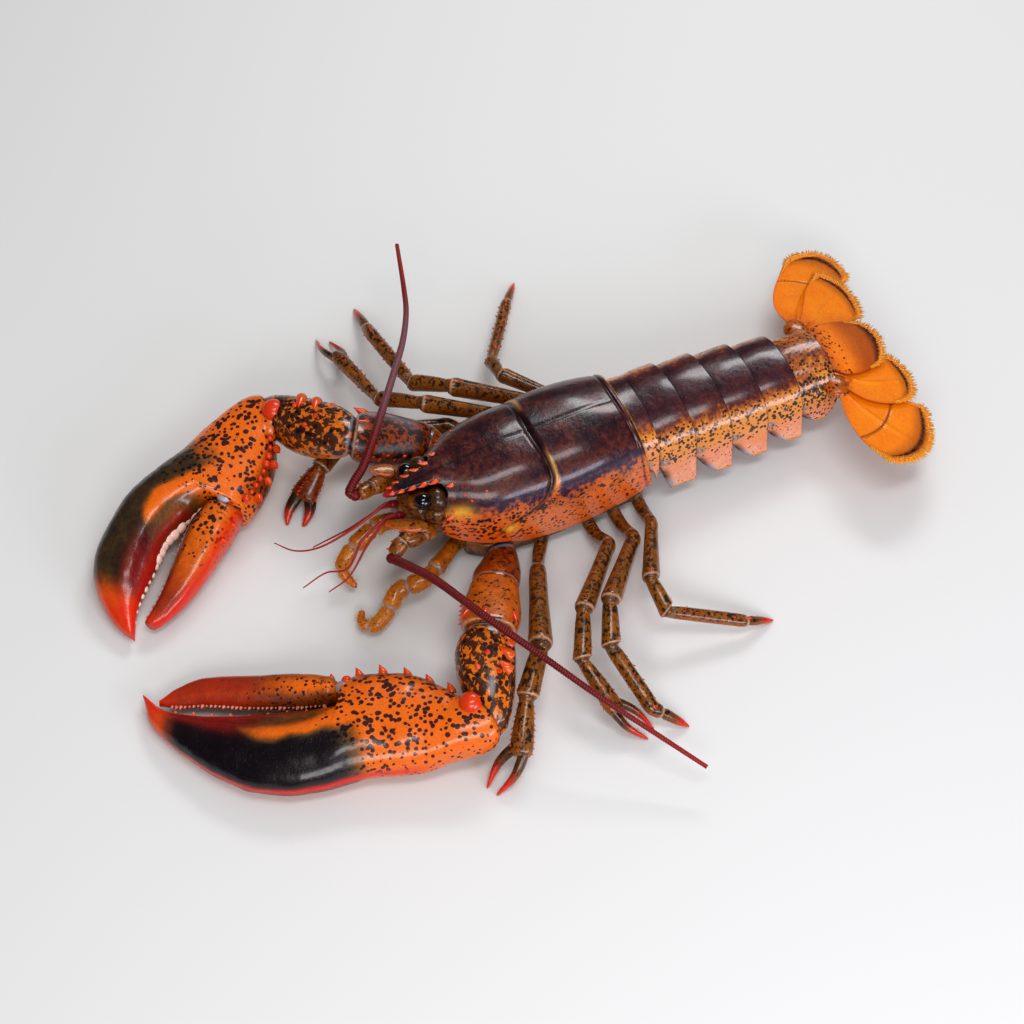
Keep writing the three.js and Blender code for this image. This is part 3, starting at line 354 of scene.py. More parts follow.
class NodeTree:
    # short words for building a node tree
    def __init__(self, name):
        self.material = bpy.data.materials.new(name)
        self.material.use_nodes = True
        self.tree = self.material.node_tree
        self.tree.nodes.clear()
        self.coords = self.add("ShaderNodeTexCoord").outputs["Object"]

    def add(self, kind, **settings):
        node = self.tree.nodes.new(kind)
        for key, value in settings.items():
            setattr(node, key, value)
        return node

    def feed(self, socket, value):
        if isinstance(value, bpy.types.NodeSocket):
            self.tree.links.new(value, socket)
        else:
            socket.default_value = value

    def fill(self, node, values):
        for key, value in values.items():
            self.feed(node.inputs[key], value)
        return node.outputs

    def math(self, operation, a, b=0.0, clamp=False):
        node = self.add("ShaderNodeMath", operation=operation, use_clamp=clamp)
        return self.fill(node, {0: a, 1: b})[0]

    def noise(self, scale, detail=3.0, distortion=0.0):
        return self.fill(self.add("ShaderNodeTexNoise"), {
            "Vector": self.coords, "Scale": scale, "Detail": detail, "Roughness": 0.55,
            "Distortion": distortion,
        })["Fac"]

    def cells(self, scale, warp):
        # distance to the nearest of scattered points, with the coordinates shifted by noise
        shift = self.add("ShaderNodeVectorMath", operation="MULTIPLY_ADD")
        noise = self.fill(self.add("ShaderNodeTexNoise"), {"Vector": self.coords, "Scale": scale * 0.9})
        moved = self.fill(shift, {0: noise["Color"], 1: (warp, warp, warp), 2: self.coords})[0]
        return self.fill(self.add("ShaderNodeTexVoronoi"), {"Vector": moved, "Scale": scale})["Distance"]

    def step(self, value, low, high):
        node = self.add("ShaderNodeMapRange", interpolation_type="SMOOTHSTEP")
        return self.fill(node, {"Value": value, "From Min": low, "From Max": high})["Result"]

    def mark(self, name):
        return self.add("ShaderNodeAttribute", attribute_name=name).outputs["Fac"]

    def mix(self, factor, a, b, kind="MIX"):
        node = self.add("ShaderNodeMix", data_type="RGBA", blend_type=kind)
        return self.fill(node, {0: factor, 6: a, 7: b})[2]

    def ramp(self, value, stops):
        node = self.add("ShaderNodeValToRGB")
        self.feed(node.inputs[0], value)
        elements = node.color_ramp.elements
        while len(elements) < len(stops):
            elements.new(0.5)
        for element, (position, code) in zip(elements, stops):
            element.position = position
            element.color = linear(code)
        return node.outputs[0]

    def finish(self, colour, height, settings):
        # wet shell: a rough under layer with a thin clear coat
        shader = self.add("ShaderNodeBsdfPrincipled")
        relief = self.fill(self.add("ShaderNodeBump"), {
            "Distance": settings["bumpDepth"], "Strength": 0.5, "Height": height,
        })
        grainScale, grainDepth = 600, 0.2
        grain = self.math("MULTIPLY", self.noise(grainScale, 2), grainDepth)
        self.fill(shader, {
            "Base Color": colour, "Normal": relief[0],
            "Roughness": self.math("ADD", grain, settings["roughness"] - grainDepth / 2),
            "Coat Weight": settings["coat"], "Coat Roughness": settings["coatRoughness"],
            "Specular IOR Level": 0.32,
        })
        if "glow" in settings:
            self.fill(shader, {
                "Subsurface Weight": settings["glow"], "Subsurface Radius": (0.004, 0.0015, 0.0006),
                "Subsurface Scale": 1.0,
            })
        output = self.add("ShaderNodeOutputMaterial")
        self.tree.links.new(shader.outputs[0], output.inputs[0])
        return self.material


def shellMaterial(name, look):
    # colour along the tone mark, then blotches, round dots, dark, red, pale and bluish marks over it
    n = NodeTree(name)
    broad = n.math("SUBTRACT", n.noise(look["cloudScale"], 3), 0.5)
    fine = n.noise(look["cloudScale"] * 4.5, 4)
    fineShift = n.math("MULTIPLY", n.math("SUBTRACT", fine, 0.5), look["cloud"] * 0.8)
    shift = n.math("ADD", n.math("MULTIPLY", broad, look["cloud"]), fineShift)
    colour = n.ramp(n.math("ADD", n.mark("tone"), shift, clamp=True), look["ramp"])
    blotch = n.noise(look["blotchScale"], 3, 0.4)
    limit = n.math("SUBTRACT", 0.76, n.math("MULTIPLY", n.mark("mottle"), look["blotch"]))
    blotches = n.step(n.math("SUBTRACT", blotch, limit), -0.02, 0.04)
    colour = n.mix(n.math("MULTIPLY", blotches, look["blotchMix"]), colour, linear(look["fleckColour"]))
    dots = n.cells(look["dotScale"], 0.25 / look["dotScale"])
    size = n.math("MULTIPLY", n.noise(look["dotScale"] * 0.5, 1), look["dot"])
    size = n.math("MULTIPLY", n.mark("fleck"), size)
    spots = n.step(n.math("SUBTRACT", size, dots), -0.03, 0.04)
    colour = n.mix(n.math("MULTIPLY", spots, look["dotMix"]), colour, linear(look["fleckColour"]))
    grain = n.step(n.noise(look["dotScale"] * 4, 3), 0.3, 0.75)
    colour = n.mix(look["grain"], colour, n.ramp(grain, [(0, "6a6a6a"), (1, "ffffff")]), "MULTIPLY")
    uneven = n.math("ADD", n.math("MULTIPLY", fine, 0.7), 0.6)
    for mark in ("dark", "tint", "cool", "pale"):
        strength = n.math("MULTIPLY", n.mark(mark), uneven, clamp=True)
        colour = n.mix(strength, colour, linear(look[mark + "Colour"]))
    pits = n.step(n.cells(look["pitScale"], 0.0006), 0.08, 0.3)
    swell = n.math("MULTIPLY", n.noise(look["swellScale"], 2), look["swell"])
    grit = n.math("MULTIPLY", n.noise(1500, 3), 0.4)
    height = n.math("ADD", n.math("MULTIPLY", pits, 0.5), n.math("ADD", grit, swell))
    return n.finish(colour, height, look)


commonLook = {
    "cloudScale": 170, "blotchScale": 420, "dotScale": 520, "dot": 0.6,
    "coolColour": "b4bfce", "paleColour": "f0b53a", "tintColour": "cc2206", "darkColour": "130a0e",
    "fleckColour": "17101a", "pitScale": 620, "swellScale": 300, "swell": 1.2, "grain": 0.28,
    "blotch": 0.3, "blotchMix": 0.9, "dotMix": 0.94, "bumpDepth": 0.00042, "roughness": 0.34, "coat": 0.6,
    "coatRoughness": 0.16,
}
carapaceLook = {
    **commonLook,
    "ramp": [(0, "1d0d18"), (0.12, "330f1a"), (0.22, "4c1c1c"), (0.3, "5e2c1e"), (0.38, "36152a"),
             (0.5, "2c1a34"), (0.58, "5a3040"), (0.66, "b65c2c"), (0.82, "dc7434"), (1, "e2620c")],
    "cloudScale": 90, "cloud": 0.6, "blotchScale": 400, "dotScale": 470, "dot": 0.84,
    "bumpDepth": 0.0006, "coatRoughness": 0.17,
}
tailLook = {
    **commonLook,
    "ramp": [(0, "250e19"), (0.18, "3a1420"), (0.32, "5c2420"), (0.43, "a2561e"), (0.55, "d4872c"),
             (0.7, "dc8c44"), (0.85, "dd8a66"), (1, "e59f80")],
    "cloudScale": 120, "cloud": 0.46, "blotchScale": 460, "dotScale": 560, "dot": 0.8, "blotch": 0.22,
    "coatRoughness": 0.17,
}
fanLook = {
    **commonLook,
    "ramp": [(0, "4c3a1c"), (0.22, "8e4a0c"), (0.45, "d06406"), (0.7, "e67a06"), (1, "f29410")],
    "cloudScale": 140, "cloud": 0.34, "blotch": 0.26, "dotScale": 430,
    "fleckColour": "2c1410", "darkColour": "240812", "tintColour": "b8300f", "paleColour": "eeb02c",
    "glow": 0.2, "grain": 0.2, "coat": 0.55,
}
clawLook = {
    **commonLook,
    "ramp": [(0, "140c14"), (0.14, "231618"), (0.27, "46341f"), (0.38, "70451a"), (0.5, "ac560a"),
             (0.64, "de6a04"), (0.8, "e46a10"), (1, "ea8650")],
    "cloudScale": 90, "cloud": 0.26, "dotScale": 400, "dot": 0.84, "blotch": 0.2,
    "fleckColour": "14121e", "darkColour": "3a0a0e", "paleColour": "f4e0d6", "coat": 0.5,
}
armLook = {
    **commonLook,
    "ramp": [(0, "1d0d14"), (0.25, "541710"), (0.42, "8e3c0c"), (0.6, "c8660a"), (0.8, "de7c12"),
             (1, "e3924a")],
    "cloudScale": 130, "cloud": 0.3, "blotchScale": 340, "dotScale": 330, "dot": 0.66,
    "fleckColour": "191014", "darkColour": "2a0c12", "paleColour": "f0d9b8",
}
legLook = {
    **commonLook,
    "ramp": [(0, "2c1a0c"), (0.3, "5c340e"), (0.55, "8a5212"), (0.75, "ab661c"), (1, "d28a50")],
    "cloud": 0.5, "fleckColour": "1c120d", "darkColour": "1c120e", "paleColour": "e6b79a",
    "coolColour": "8fa8a6",
}
whipLook = {
    **commonLook,
    "ramp": [(0, "44060a"), (0.5, "7c0c10"), (1, "9c1a14")],
    "cloudScale": 120, "cloud": 0.4, "blotch": 0.0, "dot": 0.0,
    "fleckColour": "2a0c0e", "darkColour": "1c0508", "tintColour": "a8281a", "paleColour": "a0707a",
    "roughness": 0.46, "coat": 0.12, "swell": 0.0, "bumpDepth": 0.0001,
}
mouthLook = {
    **commonLook,
    "ramp": [(0, "33200f"), (0.35, "74420c"), (0.6, "b06210"), (0.8, "d07c14"), (1, "e2a02c")],
    "cloud": 0.45, "fleckColour": "1d130f", "darkColour": "1a110d", "paleColour": "e8b13c",
}

carapaceMaterial = shellMaterial("wetCarapaceShell", carapaceLook)
tailMaterial = shellMaterial("wetTailShell", tailLook)
fanMaterial = shellMaterial("tailFanPlate", fanLook)
clawMaterial = shellMaterial("clawShell", clawLook)
armMaterial = shellMaterial("armShell", armLook)
legMaterial = shellMaterial("legShell", legLook)
whipMaterial = shellMaterial("ringedWhip", whipLook)
mouthMaterial = shellMaterial("mouthParts", mouthLook)
print("materials ready")


# Carapace with its beak between the eyes

# The carapace is read at q, from -1 at the right lip to 1 at the left; "down" is the size of q.
# Tables give a value over y, and "groove" and "front" give y over the share of the way down.
carapace = {
    "width": [[-96, 14.5], [-90, 18.5], [-76, 25.5], [-60, 28], [-45, 29], [-30, 29.5], [-12, 28],
              [0, 26]],
    "top": [[-96, 50.5], [-80, 53.5], [-60, 55.5], [-45, 55], [-20, 55.5], [0, 53.5]],
    "lip": [[-96, 20], [-86, 17.5], [-76, 15.6], [-69, 14.4], [-60, 10.6], [-48, 9.2], [-30, 9.2],
            [-10, 10], [0, 13]],
    "arch": 0.62, "archHeight": 21, "archShare": 0.62, "roundness": 2.35, "curl": 0.07,
    "lobe": 7, "lobeFrom": -14,
    "groove": [[0, -45.6], [0.35, -45], [0.48, -47.7], [0.6, -53.6], [0.72, -65.8], [0.85, -71.5],
               [1, -74]],
    "grooveDepth": 1.5, "grooveHalf": 1.3, "halfGirth": 64,
    "beakShare": 0.12, "beakTip": -118, "beakRoot": -94,
    "beakHalf": [[-118, 0.3], [-115, 1.7], [-110, 2.9], [-104, 3.9], [-99, 4.7], [-94, 5.7]],
    "beakTop": [[-118, 48.6], [-115, 49.3], [-110, 50.1], [-104, 50.8], [-99, 51.4], [-94, 52.2],
                [-84, 53.4]],
    "beakThick": [[-118, 0.8], [-110, 2.6], [-99, 4], [-84, 4.5]],
    "front": [[0.12, -94], [0.15, -92.4], [0.22, -91.2], [0.3, -92], [0.34, -94.4], [0.4, -95.6],
              [0.62, -96], [0.86, -95], [0.95, -92.5], [1, -88]],
    "wall": 1.3, "rows": 300, "columns": 241, "fringe": 260,
    "tone": [[0, 0.12], [0.3, 0.2], [0.4, 0.36], [0.47, 0.5], [0.55, 0.64], [0.68, 0.8], [1, 1]],
    # spines along the beak: y, distance from the midline and length
    "beakSpines": [[-94.5, 6.2, 3.6], [-99.5, 5, 3.6], [-104.5, 4.1, 3.2], [-109.5, 3.1, 2.6],
                   [-113.5, 2.1, 2]],
    # spines round each eye: place on the left, lean, length and radius
    "browSpines": [[(13.4, -95, 43.6), (0.3, -1, 0.1), 4, 1.6],
                   [(9.6, -88.6, 49.8), (0.2, -1, 0.35), 2.6, 1.2],
                   [(16.6, -92, 36.4), (0.25, -1, 0), 3.2, 1.5]],
    # low points behind each eye: share of the length and share of the way down
    "knobs": [[0.08, 0.3], [0.13, 0.36], [0.18, 0.3], [0.05, 0.45]],
}


def carapaceGrid(rows=None, q=None):
    # A roof x = width sin(roll)^p, z = shoulder + height cos(roll)^p on straight sides, with the
    # groove and the rear band cut in as bell curves. Rows run from the front margin to the rear.
    c = carapace
    q = np.linspace(-1, 1, c["columns"])[None, :] if q is None else q
    s = np.linspace(0, 1, c["rows"])[:, None] if rows is None else rows
    down, side = np.abs(q), np.sign(q)
    beak = c["beakTip"] + (c["beakRoot"] - c["beakTip"]) * down / c["beakShare"]
    front = np.where(down < c["beakShare"], beak, profile(c["front"], down))
    rear = c["lobe"] * down ** 2
    y = front + (rear - front) * s
    onLobe = np.clip((y - c["lobeFrom"]) / (rear - c["lobeFrom"]), 0, 1)
    station = np.minimum(np.where(y > c["lobeFrom"], y - rear * onLobe, y), 0)
    width = profile(c["width"], station)
    top = profile(c["top"], station)
    lip = profile(c["lip"], station)
    shoulder = top - np.minimum(c["archHeight"], (top - lip) * c["archShare"])
    step = 0.01
    rise = profile(c["groove"], down + step) - profile(c["groove"], down - step)
    slope = rise / (2 * step * c["halfGirth"])
    away = (y - profile(c["groove"], down)) / np.sqrt(1 + slope ** 2)
    groove = c["grooveDepth"] * bump(away, c["grooveHalf"]) * (1 - 0.6 * smooth(0.45, 0.8, down))
    groove = groove * (1 - smooth(0.86, 0.97, down))
    rearBand = 0.45 * bump(station + 2.4, 0.6) - 0.2 * bump(station + 1, 0.8)
    dent = groove + rearBand
    roll = np.minimum(down / c["arch"], 1) * np.pi / 2
    fall = np.clip((down - c["arch"]) / (1 - c["arch"]), 0, 1)
    power = 2 / c["roundness"]
    x = (width - dent) * np.sin(roll) ** power * (1 - c["curl"] * fall ** 2)
    roof = shoulder + (top - dent - shoulder) * np.maximum(np.cos(roll), 0) ** power
    z = np.where(down > c["arch"], shoulder + (lip - shoulder) * fall, roof)
    z = z - 0.3 * bump(x, 0.35) * smooth(-112, -104, y)
    lift = np.maximum(profile(c["beakTop"], y) - top, 0) * smooth(-82, -88, y)
    z = z + lift * bump(x, 7)
    # the beak narrows to its tip over a ridge and a trough on each side
    inBeak = (y < c["beakRoot"]) & (down < c["beakShare"])
    beakWidth = c["beakShare"] * np.maximum(y - c["beakTip"], 1e-3)
    share = np.clip(down * (c["beakRoot"] - c["beakTip"]) / beakWidth, 0, 1)
    beakX = profile(c["beakHalf"], y) * share ** 0.85
    beakZ = profile(c["beakTop"], y) - 1.5 * share ** 2 + 0.7 * bump(share - 0.72, 0.2)
    beakZ = beakZ - 0.35 * bump(beakX, 0.4)
    x = np.where(inBeak, beakX, x)
    z = np.where(inBeak, beakZ, z)
    return np.stack(np.broadcast_arrays(side * x, y, z), axis=-1), y, np.broadcast_to(down, x.shape), away


def makeCarapace():
    # the shell is the grid and the same grid moved inwards by the wall's thickness
    c = carapace
    outer, y, down, away = carapaceGrid()
    normal = gridNormals(outer)
    normal *= np.sign(normal[..., 2].mean())
    outer = outer + normal * (wobble(outer, 26, 3) * 0.22)[..., None]
    inBeak = smooth(-88, -96, y) * (1 - smooth(0.1, 0.16, down))
    inner = outer - normal * c["wall"] * (1 - inBeak[..., None])
    inner = inner - np.array([0, 0, 1]) * (profile(c["beakThick"], y) * inBeak)[..., None]
    inner[..., 0] *= 1 - 0.25 * inBeak
    # marks: dark back, orange speckled flanks, yellow flecks along the groove and by the eyes, and painted
    # shade in the groove
    head = smooth(-52, -66, y)
    # painted shade: a dark line along the crease of the groove
    grooveShade = bump(away, 1.1) * (1 - smooth(0.8, 0.93, down))
    tone = profile(c["tone"], down)
    tone = tone + head * 0.1 * smooth(0.34, 0.6, down) + 0.06 * head * (1 - smooth(0.2, 0.4, down))
    tone = tone + 0.3 * bump(away - 3, 1.8) * smooth(0.08, 0.2, down) * (1 - smooth(0.42, 0.6, down))
    tone = tone + 0.08 * smooth(-14, 0, y) * smooth(0.5, 0.8, down) - 0.1 * smooth(-96, -106, y)
    fleck = smooth(0.46, 0.6, down) * (1 - smooth(0.9, 1.0, down)) * (0.75 + 0.25 * head)
    mottle = 0.5 * smooth(0.42, 0.62, down) * (1 - smooth(0.72, 0.85, down)) + 0.25 * bump(away - 3, 2.5)
    dark = 0.9 * grooveShade + 0.9 * bump(outer[..., 0], 0.25) * smooth(-113, -105, y)
    dark = dark + 0.5 * bump(y - c["lobe"] * down ** 2 + 2.4, 0.7)
    yellow = 0.8 * bump(np.hypot((y + 88) / 5, (down - 0.47) / 0.06), 1)
    yellow = yellow + 0.75 * bump(np.hypot((y + 67) / 3.5, (down - 0.78) / 0.05), 1)
    yellow = yellow + 0.4 * bump(away - 2.2, 0.9) * smooth(0.12, 0.25, down) * (1 - smooth(0.4, 0.55, down))
    tint = 0.5 * smooth(-110, -117, y) * (down < 0.2)
    patches = [slab(outer, inner, tone=tone, fleck=fleck, mottle=mottle, dark=np.clip(dark, 0, 1),
                    pale=yellow, tint=tint)]
    for side in (-1, 1):
        mirror = np.array([side, 1, 1])
        beakY, aside, length = np.array(c["beakSpines"]).T
        base = np.stack([side * (aside - 0.7), beakY, profile(c["beakTop"], beakY) - 0.9], 1)
        patches.append(spikes(base, [side * 0.42, -1, 0.22], length, 1.15, sides=10, levels=8, curve=0.15,
                              toward=(0, -0.4, 1), tone=0.8, tint=(0.35, 0.95)))
        spot, lean, length, radius = (np.array(column) for column in zip(*c["browSpines"]))
        patches.append(spikes(spot * mirror, lean * mirror, length, radius, sides=10, levels=8, curve=0.1,
                              toward=(0, -0.3, 1), tone=0.8, tint=(0.25, 0.9)))
        rows, q = np.array(c["knobs"]).T
        grid, *_ = carapaceGrid(rows[:, None], side * q[None, :])
        spots = grid[np.arange(len(q)), np.arange(len(q))]
        patches.append(spikes(spots - [0, 0, 0.2], [0, -0.8, 1], 1.1, 0.7, sides=8, levels=5, tone=0.8,
                              tint=(0.5, 0.9)))
    # short hairs under the rear edge
    rear = outer[-1]
    pick = np.linspace(12, len(rear) - 13, c["fringe"])
    base = readAt(rear, pick)
    base[:, 1] -= 0.5
    outward = unit(base * [1, 0, 1] - [0, 0, 30])
    patches.append(spikes(base - outward * 0.9, outward * 0.1 + [0, 1, 0], rng.uniform(1.4, 2.2, len(base)),
                          0.16, sides=3, levels=2, tone=0.9, pale=0.75))
    makePiece("carapaceShell", patches, carapaceMaterial, ["carapace"])


# Tail: six rings with hanging side lobes

tailParts = [
    {"from": 0.3, "to": 9.4, "half": 24.4, "top": 48.6,
     "tip": (24, 9, 16), "share": 0.12},
    {"from": 9.7, "to": 27.6, "half": 25.8, "top": 47.4,
     "tip": (28, 28, 9.8), "share": 0.72},
    {"from": 27.9, "to": 46.6, "half": 25.4, "top": 45.6,
     "tip": (28.2, 46.2, 9.8), "share": 0.42},
    {"from": 46.9, "to": 65.6, "half": 24.4, "top": 44.2,
     "tip": (27.2, 65.2, 9.8), "share": 0.42},
    {"from": 65.9, "to": 84.6, "half": 23, "top": 42.8,
     "tip": (25.6, 84.2, 10.4), "share": 0.44},
    {"from": 84.9, "to": 104.2, "half": 20, "top": 41.6,
     "tip": (22, 96, 14.2), "share": 0.3},
]
tail = {
    "bend": 5.5, "bendAt": 117, "hangFrom": 0.66, "arch": 19, "roundness": 0.9, "tuck": 0.035,
    "behindCarapace": 7.8, "overlap": 0.9, "narrowing": 1.6, "wall": 1.1, "rows": 70, "columns": 201,
    "tone": [[0, 0.14], [0.18, 0.2], [0.3, 0.32], [0.4, 0.5], [0.6, 0.62], [0.7, 0.76], [0.84, 0.9], [1, 1]],
    "hingeAt": 0.68, "rimHairs": 40,
}


def tailX(y):
    # the tail's midline drifts to the left with the square of the distance
    return np.where(np.asarray(y) > 0, tail["bend"] * (np.asarray(y, float) / tail["bendAt"]) ** 2, 0)


def tailGrid(part, index):
    # a half round roof over side lobes, which hang from hangFrom and narrow to their tips
    q = np.linspace(-1, 1, tail["columns"])[None, :]
    v = np.linspace(0, 1, tail["rows"])[:, None]
    down, side = np.abs(q), np.sign(q)
    hang = np.clip((down - tail["hangFrom"]) / (1 - tail["hangFrom"]), 0, 1)
    roll = np.minimum(down, tail["hangFrom"]) / tail["hangFrom"] * np.pi / 2
    shoulder = part["top"] - tail["arch"]
    tuck = 1 - tail["tuck"] * (1 - v) ** 2 * (index > 0)
    x = part["half"] * tuck * (1 + 0.006 * np.sin(np.pi * v)) * np.sin(roll) ** tail["roundness"]
    z = shoulder + (part["top"] * tuck - shoulder) * np.maximum(np.cos(roll), 0) ** tail["roundness"]
    tipX, tipY, tipZ = part["tip"]
    x = x + (tipX - x) * hang ** 2 + 1.2 * np.sin(np.pi * hang) * (1 - 0.6 * v)
    z = z + (tipZ - z) * hang
    front = part["from"]
    if index == 0:
        front = np.minimum(part["from"] + tail["behindCarapace"] * down ** 2, part["to"] - 1)
    flat = front + (part["to"] + tail["overlap"] - front) * v
    y = tipY + (flat - tipY) * (1 + (part["share"] - 1) * hang ** tail["narrowing"])
    return np.stack(np.broadcast_arrays(side * x + tailX(y), y, z), -1), down, v, hang


def makeTail():
    # each ring is its grid and the same grid moved inwards by the wall's thickness
    middle = tail["columns"] // 2
    for index, part in enumerate(tailParts):
        outer, down, v, hang = tailGrid(part, index)
        normal = gridNormals(outer)
        normal = normal * np.sign(normal[:, middle - 20:middle + 20, 2].mean())
        outer = outer + normal * (wobble(outer, 18, 20 + index) * 0.15)[..., None]
        inner = outer - normal * tail["wall"]
        first, last = index == 0, index == len(tailParts) - 1
        tone = profile(tail["tone"], down)
        tone = tone + (0.25 if last else 0.0) * (1 - smooth(0.1, 0.5, down))
        tone = tone + (0.14 if first else 0.05) * smooth(0.1, 0.35, down) * (1 - smooth(0.5, 0.7, down))
        fleck = smooth(0.22, 0.42, down) * (1 - 0.7 * smooth(0.64, 0.8, down)) + (0.9 if last else 0.1)
        mottle = smooth(0.25, 0.4, down) * (1 - smooth(0.5, 0.68, down)) * 0.75 + (0.5 if last else 0.0)
        hinge = bump(np.hypot((down - tail["hingeAt"]) / 0.03, (v - 0.14) / 0.14), 1)
        # dark line along each ring's rear margin, and painted shade on the front strip that lies under the
        # ring before it
        edge = 0.7 * bump(v - 1, 0.02) * (1 - hang) + 0.6 * bump(v, 0.05) * (index > 0) * (1 - hang)
        lobeRim = smooth(0.3, 0.05, v) * smooth(0.15, 0.4, hang) * 0.85
        patches = [slab(outer, inner, tone=tone, fleck=np.clip(fleck, 0, 1), mottle=mottle,
                        dark=np.clip(hinge * 0.9 + edge + lobeRim, 0, 1),
                        cool=0.3 * smooth(0.34, 0.2, v) * smooth(0.5, 0.8, hang) + 0.25 * hinge)]
        for side in (-1, 1):
            knob = outer[8, int(middle + side * middle * tail["hingeAt"])]
            patches.append(ball(knob + [side * -0.6, 0.4, 0], 1.4, rows=12, columns=16, tone=0.5, dark=0.6,
                                cool=0.3))
        for side in (0, -1):
            rim = outer[4:-1, side]
            base = readAt(rim, np.linspace(0, len(rim) - 1, tail["rimHairs"]))
            patches.append(spikes(base + [0, 0, 0.3], [0, 0.35, -1], rng.uniform(0.9, 1.7, len(base)), 0.11,
                                  sides=3, levels=2, tone=0.8, pale=0.5))
        makePiece("tailRing" + str(index + 1), patches, tailMaterial,
                  ["tail_segment_" + str(index + 1)])


tailFloor = {
    "rows": 160, "columns": 41, "from": 2, "length": 99, "low": 15.5, "crown": 5, "ribs": 0.9,
    "ribStep": 18.8, "half": [[0, 21], [20, 22.5], [60, 21.5], [104, 16]],
}


def makeTailUnderside():
    # floor z = low + (crown + ribs cos(y)) (1 - q^2), with four pairs of swimmerets hanging from it
    f = tailFloor
    v = np.linspace(0, 1, f["rows"])[:, None]
    q = np.linspace(-1, 1, f["columns"])[None, :]
    y = f["from"] + f["length"] * v
    ribs = f["ribs"] * np.cos((y - 9) / f["ribStep"] * 2 * np.pi)
    z = f["low"] + f["crown"] * (1 - q ** 2) + ribs * (1 - q ** 2)
    lower = np.stack(np.broadcast_arrays(q * profile(f["half"], y) + tailX(y), y, z), -1)
    patches = [slab(lower, lower + [0, 0, 2], tone=0.9, fleck=0.1, cool=0.2)]
    t = np.linspace(0, 1, 26)
    wide = 3.6 * np.sin(np.pi * np.clip(t * 0.86 + 0.12, 0, 1)) ** 0.7
    for part in tailParts[1:5]:
        middle = (part["from"] + part["to"]) / 2
        for side in (-1, 1):
            for turn, size in ((-0.25, 1.0), (0.3, 0.9)):
                root = np.array([side * 13.5 + tailX(middle), middle, 17])
                tip = root + [side * (4 + 8 * turn), 9 + 3 * turn, -10.5 * size]
                path = smoothCurve([root, root * 0.5 + tip * 0.5 + [side * 1.2, 0, -1], tip], len(t))
                patches.append(loft(tubeRings(path, wide, 0.45, 14, up=(0, 1, 0.4)), tone=0.75, tint=0.35))
                fringe = tubeRings(path, wide, 0.3, 2, up=(0, 1, 0.4))[8:].reshape(-1, 3)
                outward = unit(fringe - np.repeat(path[8:], 2, 0)) * 0.8 + unit(tip - root)
                patches.append(spikes(fringe - outward * 0.4, outward, 2.2, 0.12, sides=3, levels=2,
                                      tint=0.8))
    makePiece("tailUnderside", patches, tailMaterial, [])


# Tail fan

fan = {"rootZ": 37, "rootY": 104.5, "slope": 0.26, "droop": 0.04, "layer": 2.2, "thickness": 1.5}
fanPlates = [
    {"node": "telson", "layer": 0, "bow": 5.5, "crown": 1.6,
     "inner": [-8, [-11.5, 115], [-10.6, 127], [-7.5, 134.5]],
     "outer": [17, [21.5, 112], [21.8, 122], [19, 130.5]]},
    {"node": "fan_inner_left", "layer": 1, "bow": 5, "crown": 0,
     "inner": [12, [14.5, 120], [14.6, 131], [14.6, 139]],
     "outer": [20, [29, 108], [37, 114], [42, 126], [40.5, 135]]},
    {"node": "fan_inner_right", "layer": 1, "bow": 7.5, "crown": 0,
     "inner": [-6, [-9, 120], [-11, 132], [-13.5, 140]],
     "outer": [-13, [-27, 115.5], [-38, 124], [-46, 135]]},
    {"node": "fan_outer_left", "layer": 2, "bow": 11, "crown": 0,
     "inner": [18, [28, 116], [37, 128], [46, 139.5]],
     "outer": [24, [38, 99.6], [51.6, 98], [61.5, 99.7], [71, 105]]},
    {"node": "fan_outer_right", "layer": 2, "bow": 12, "crown": 0,
     "inner": [-9, [-21, 121], [-32, 137], [-42.5, 150]],
     "outer": [-15.6, [-28, 101.5], [-38.4, 105.3], [-52, 117], [-61, 127.5]]},
]


def fanHeight(x, y):
    # a sheet that slopes down to the rear and droops a little to both sides
    away = np.abs(x - tailX(y))
    return fan["rootZ"] - fan["slope"] * (y - 104.2) - fan["droop"] * np.maximum(0, away - 12)


fanMesh = {"rows": 120, "columns": 81, "fringeStep": 0.85, "seamAt": 0.66, "spineRow": 0.675}


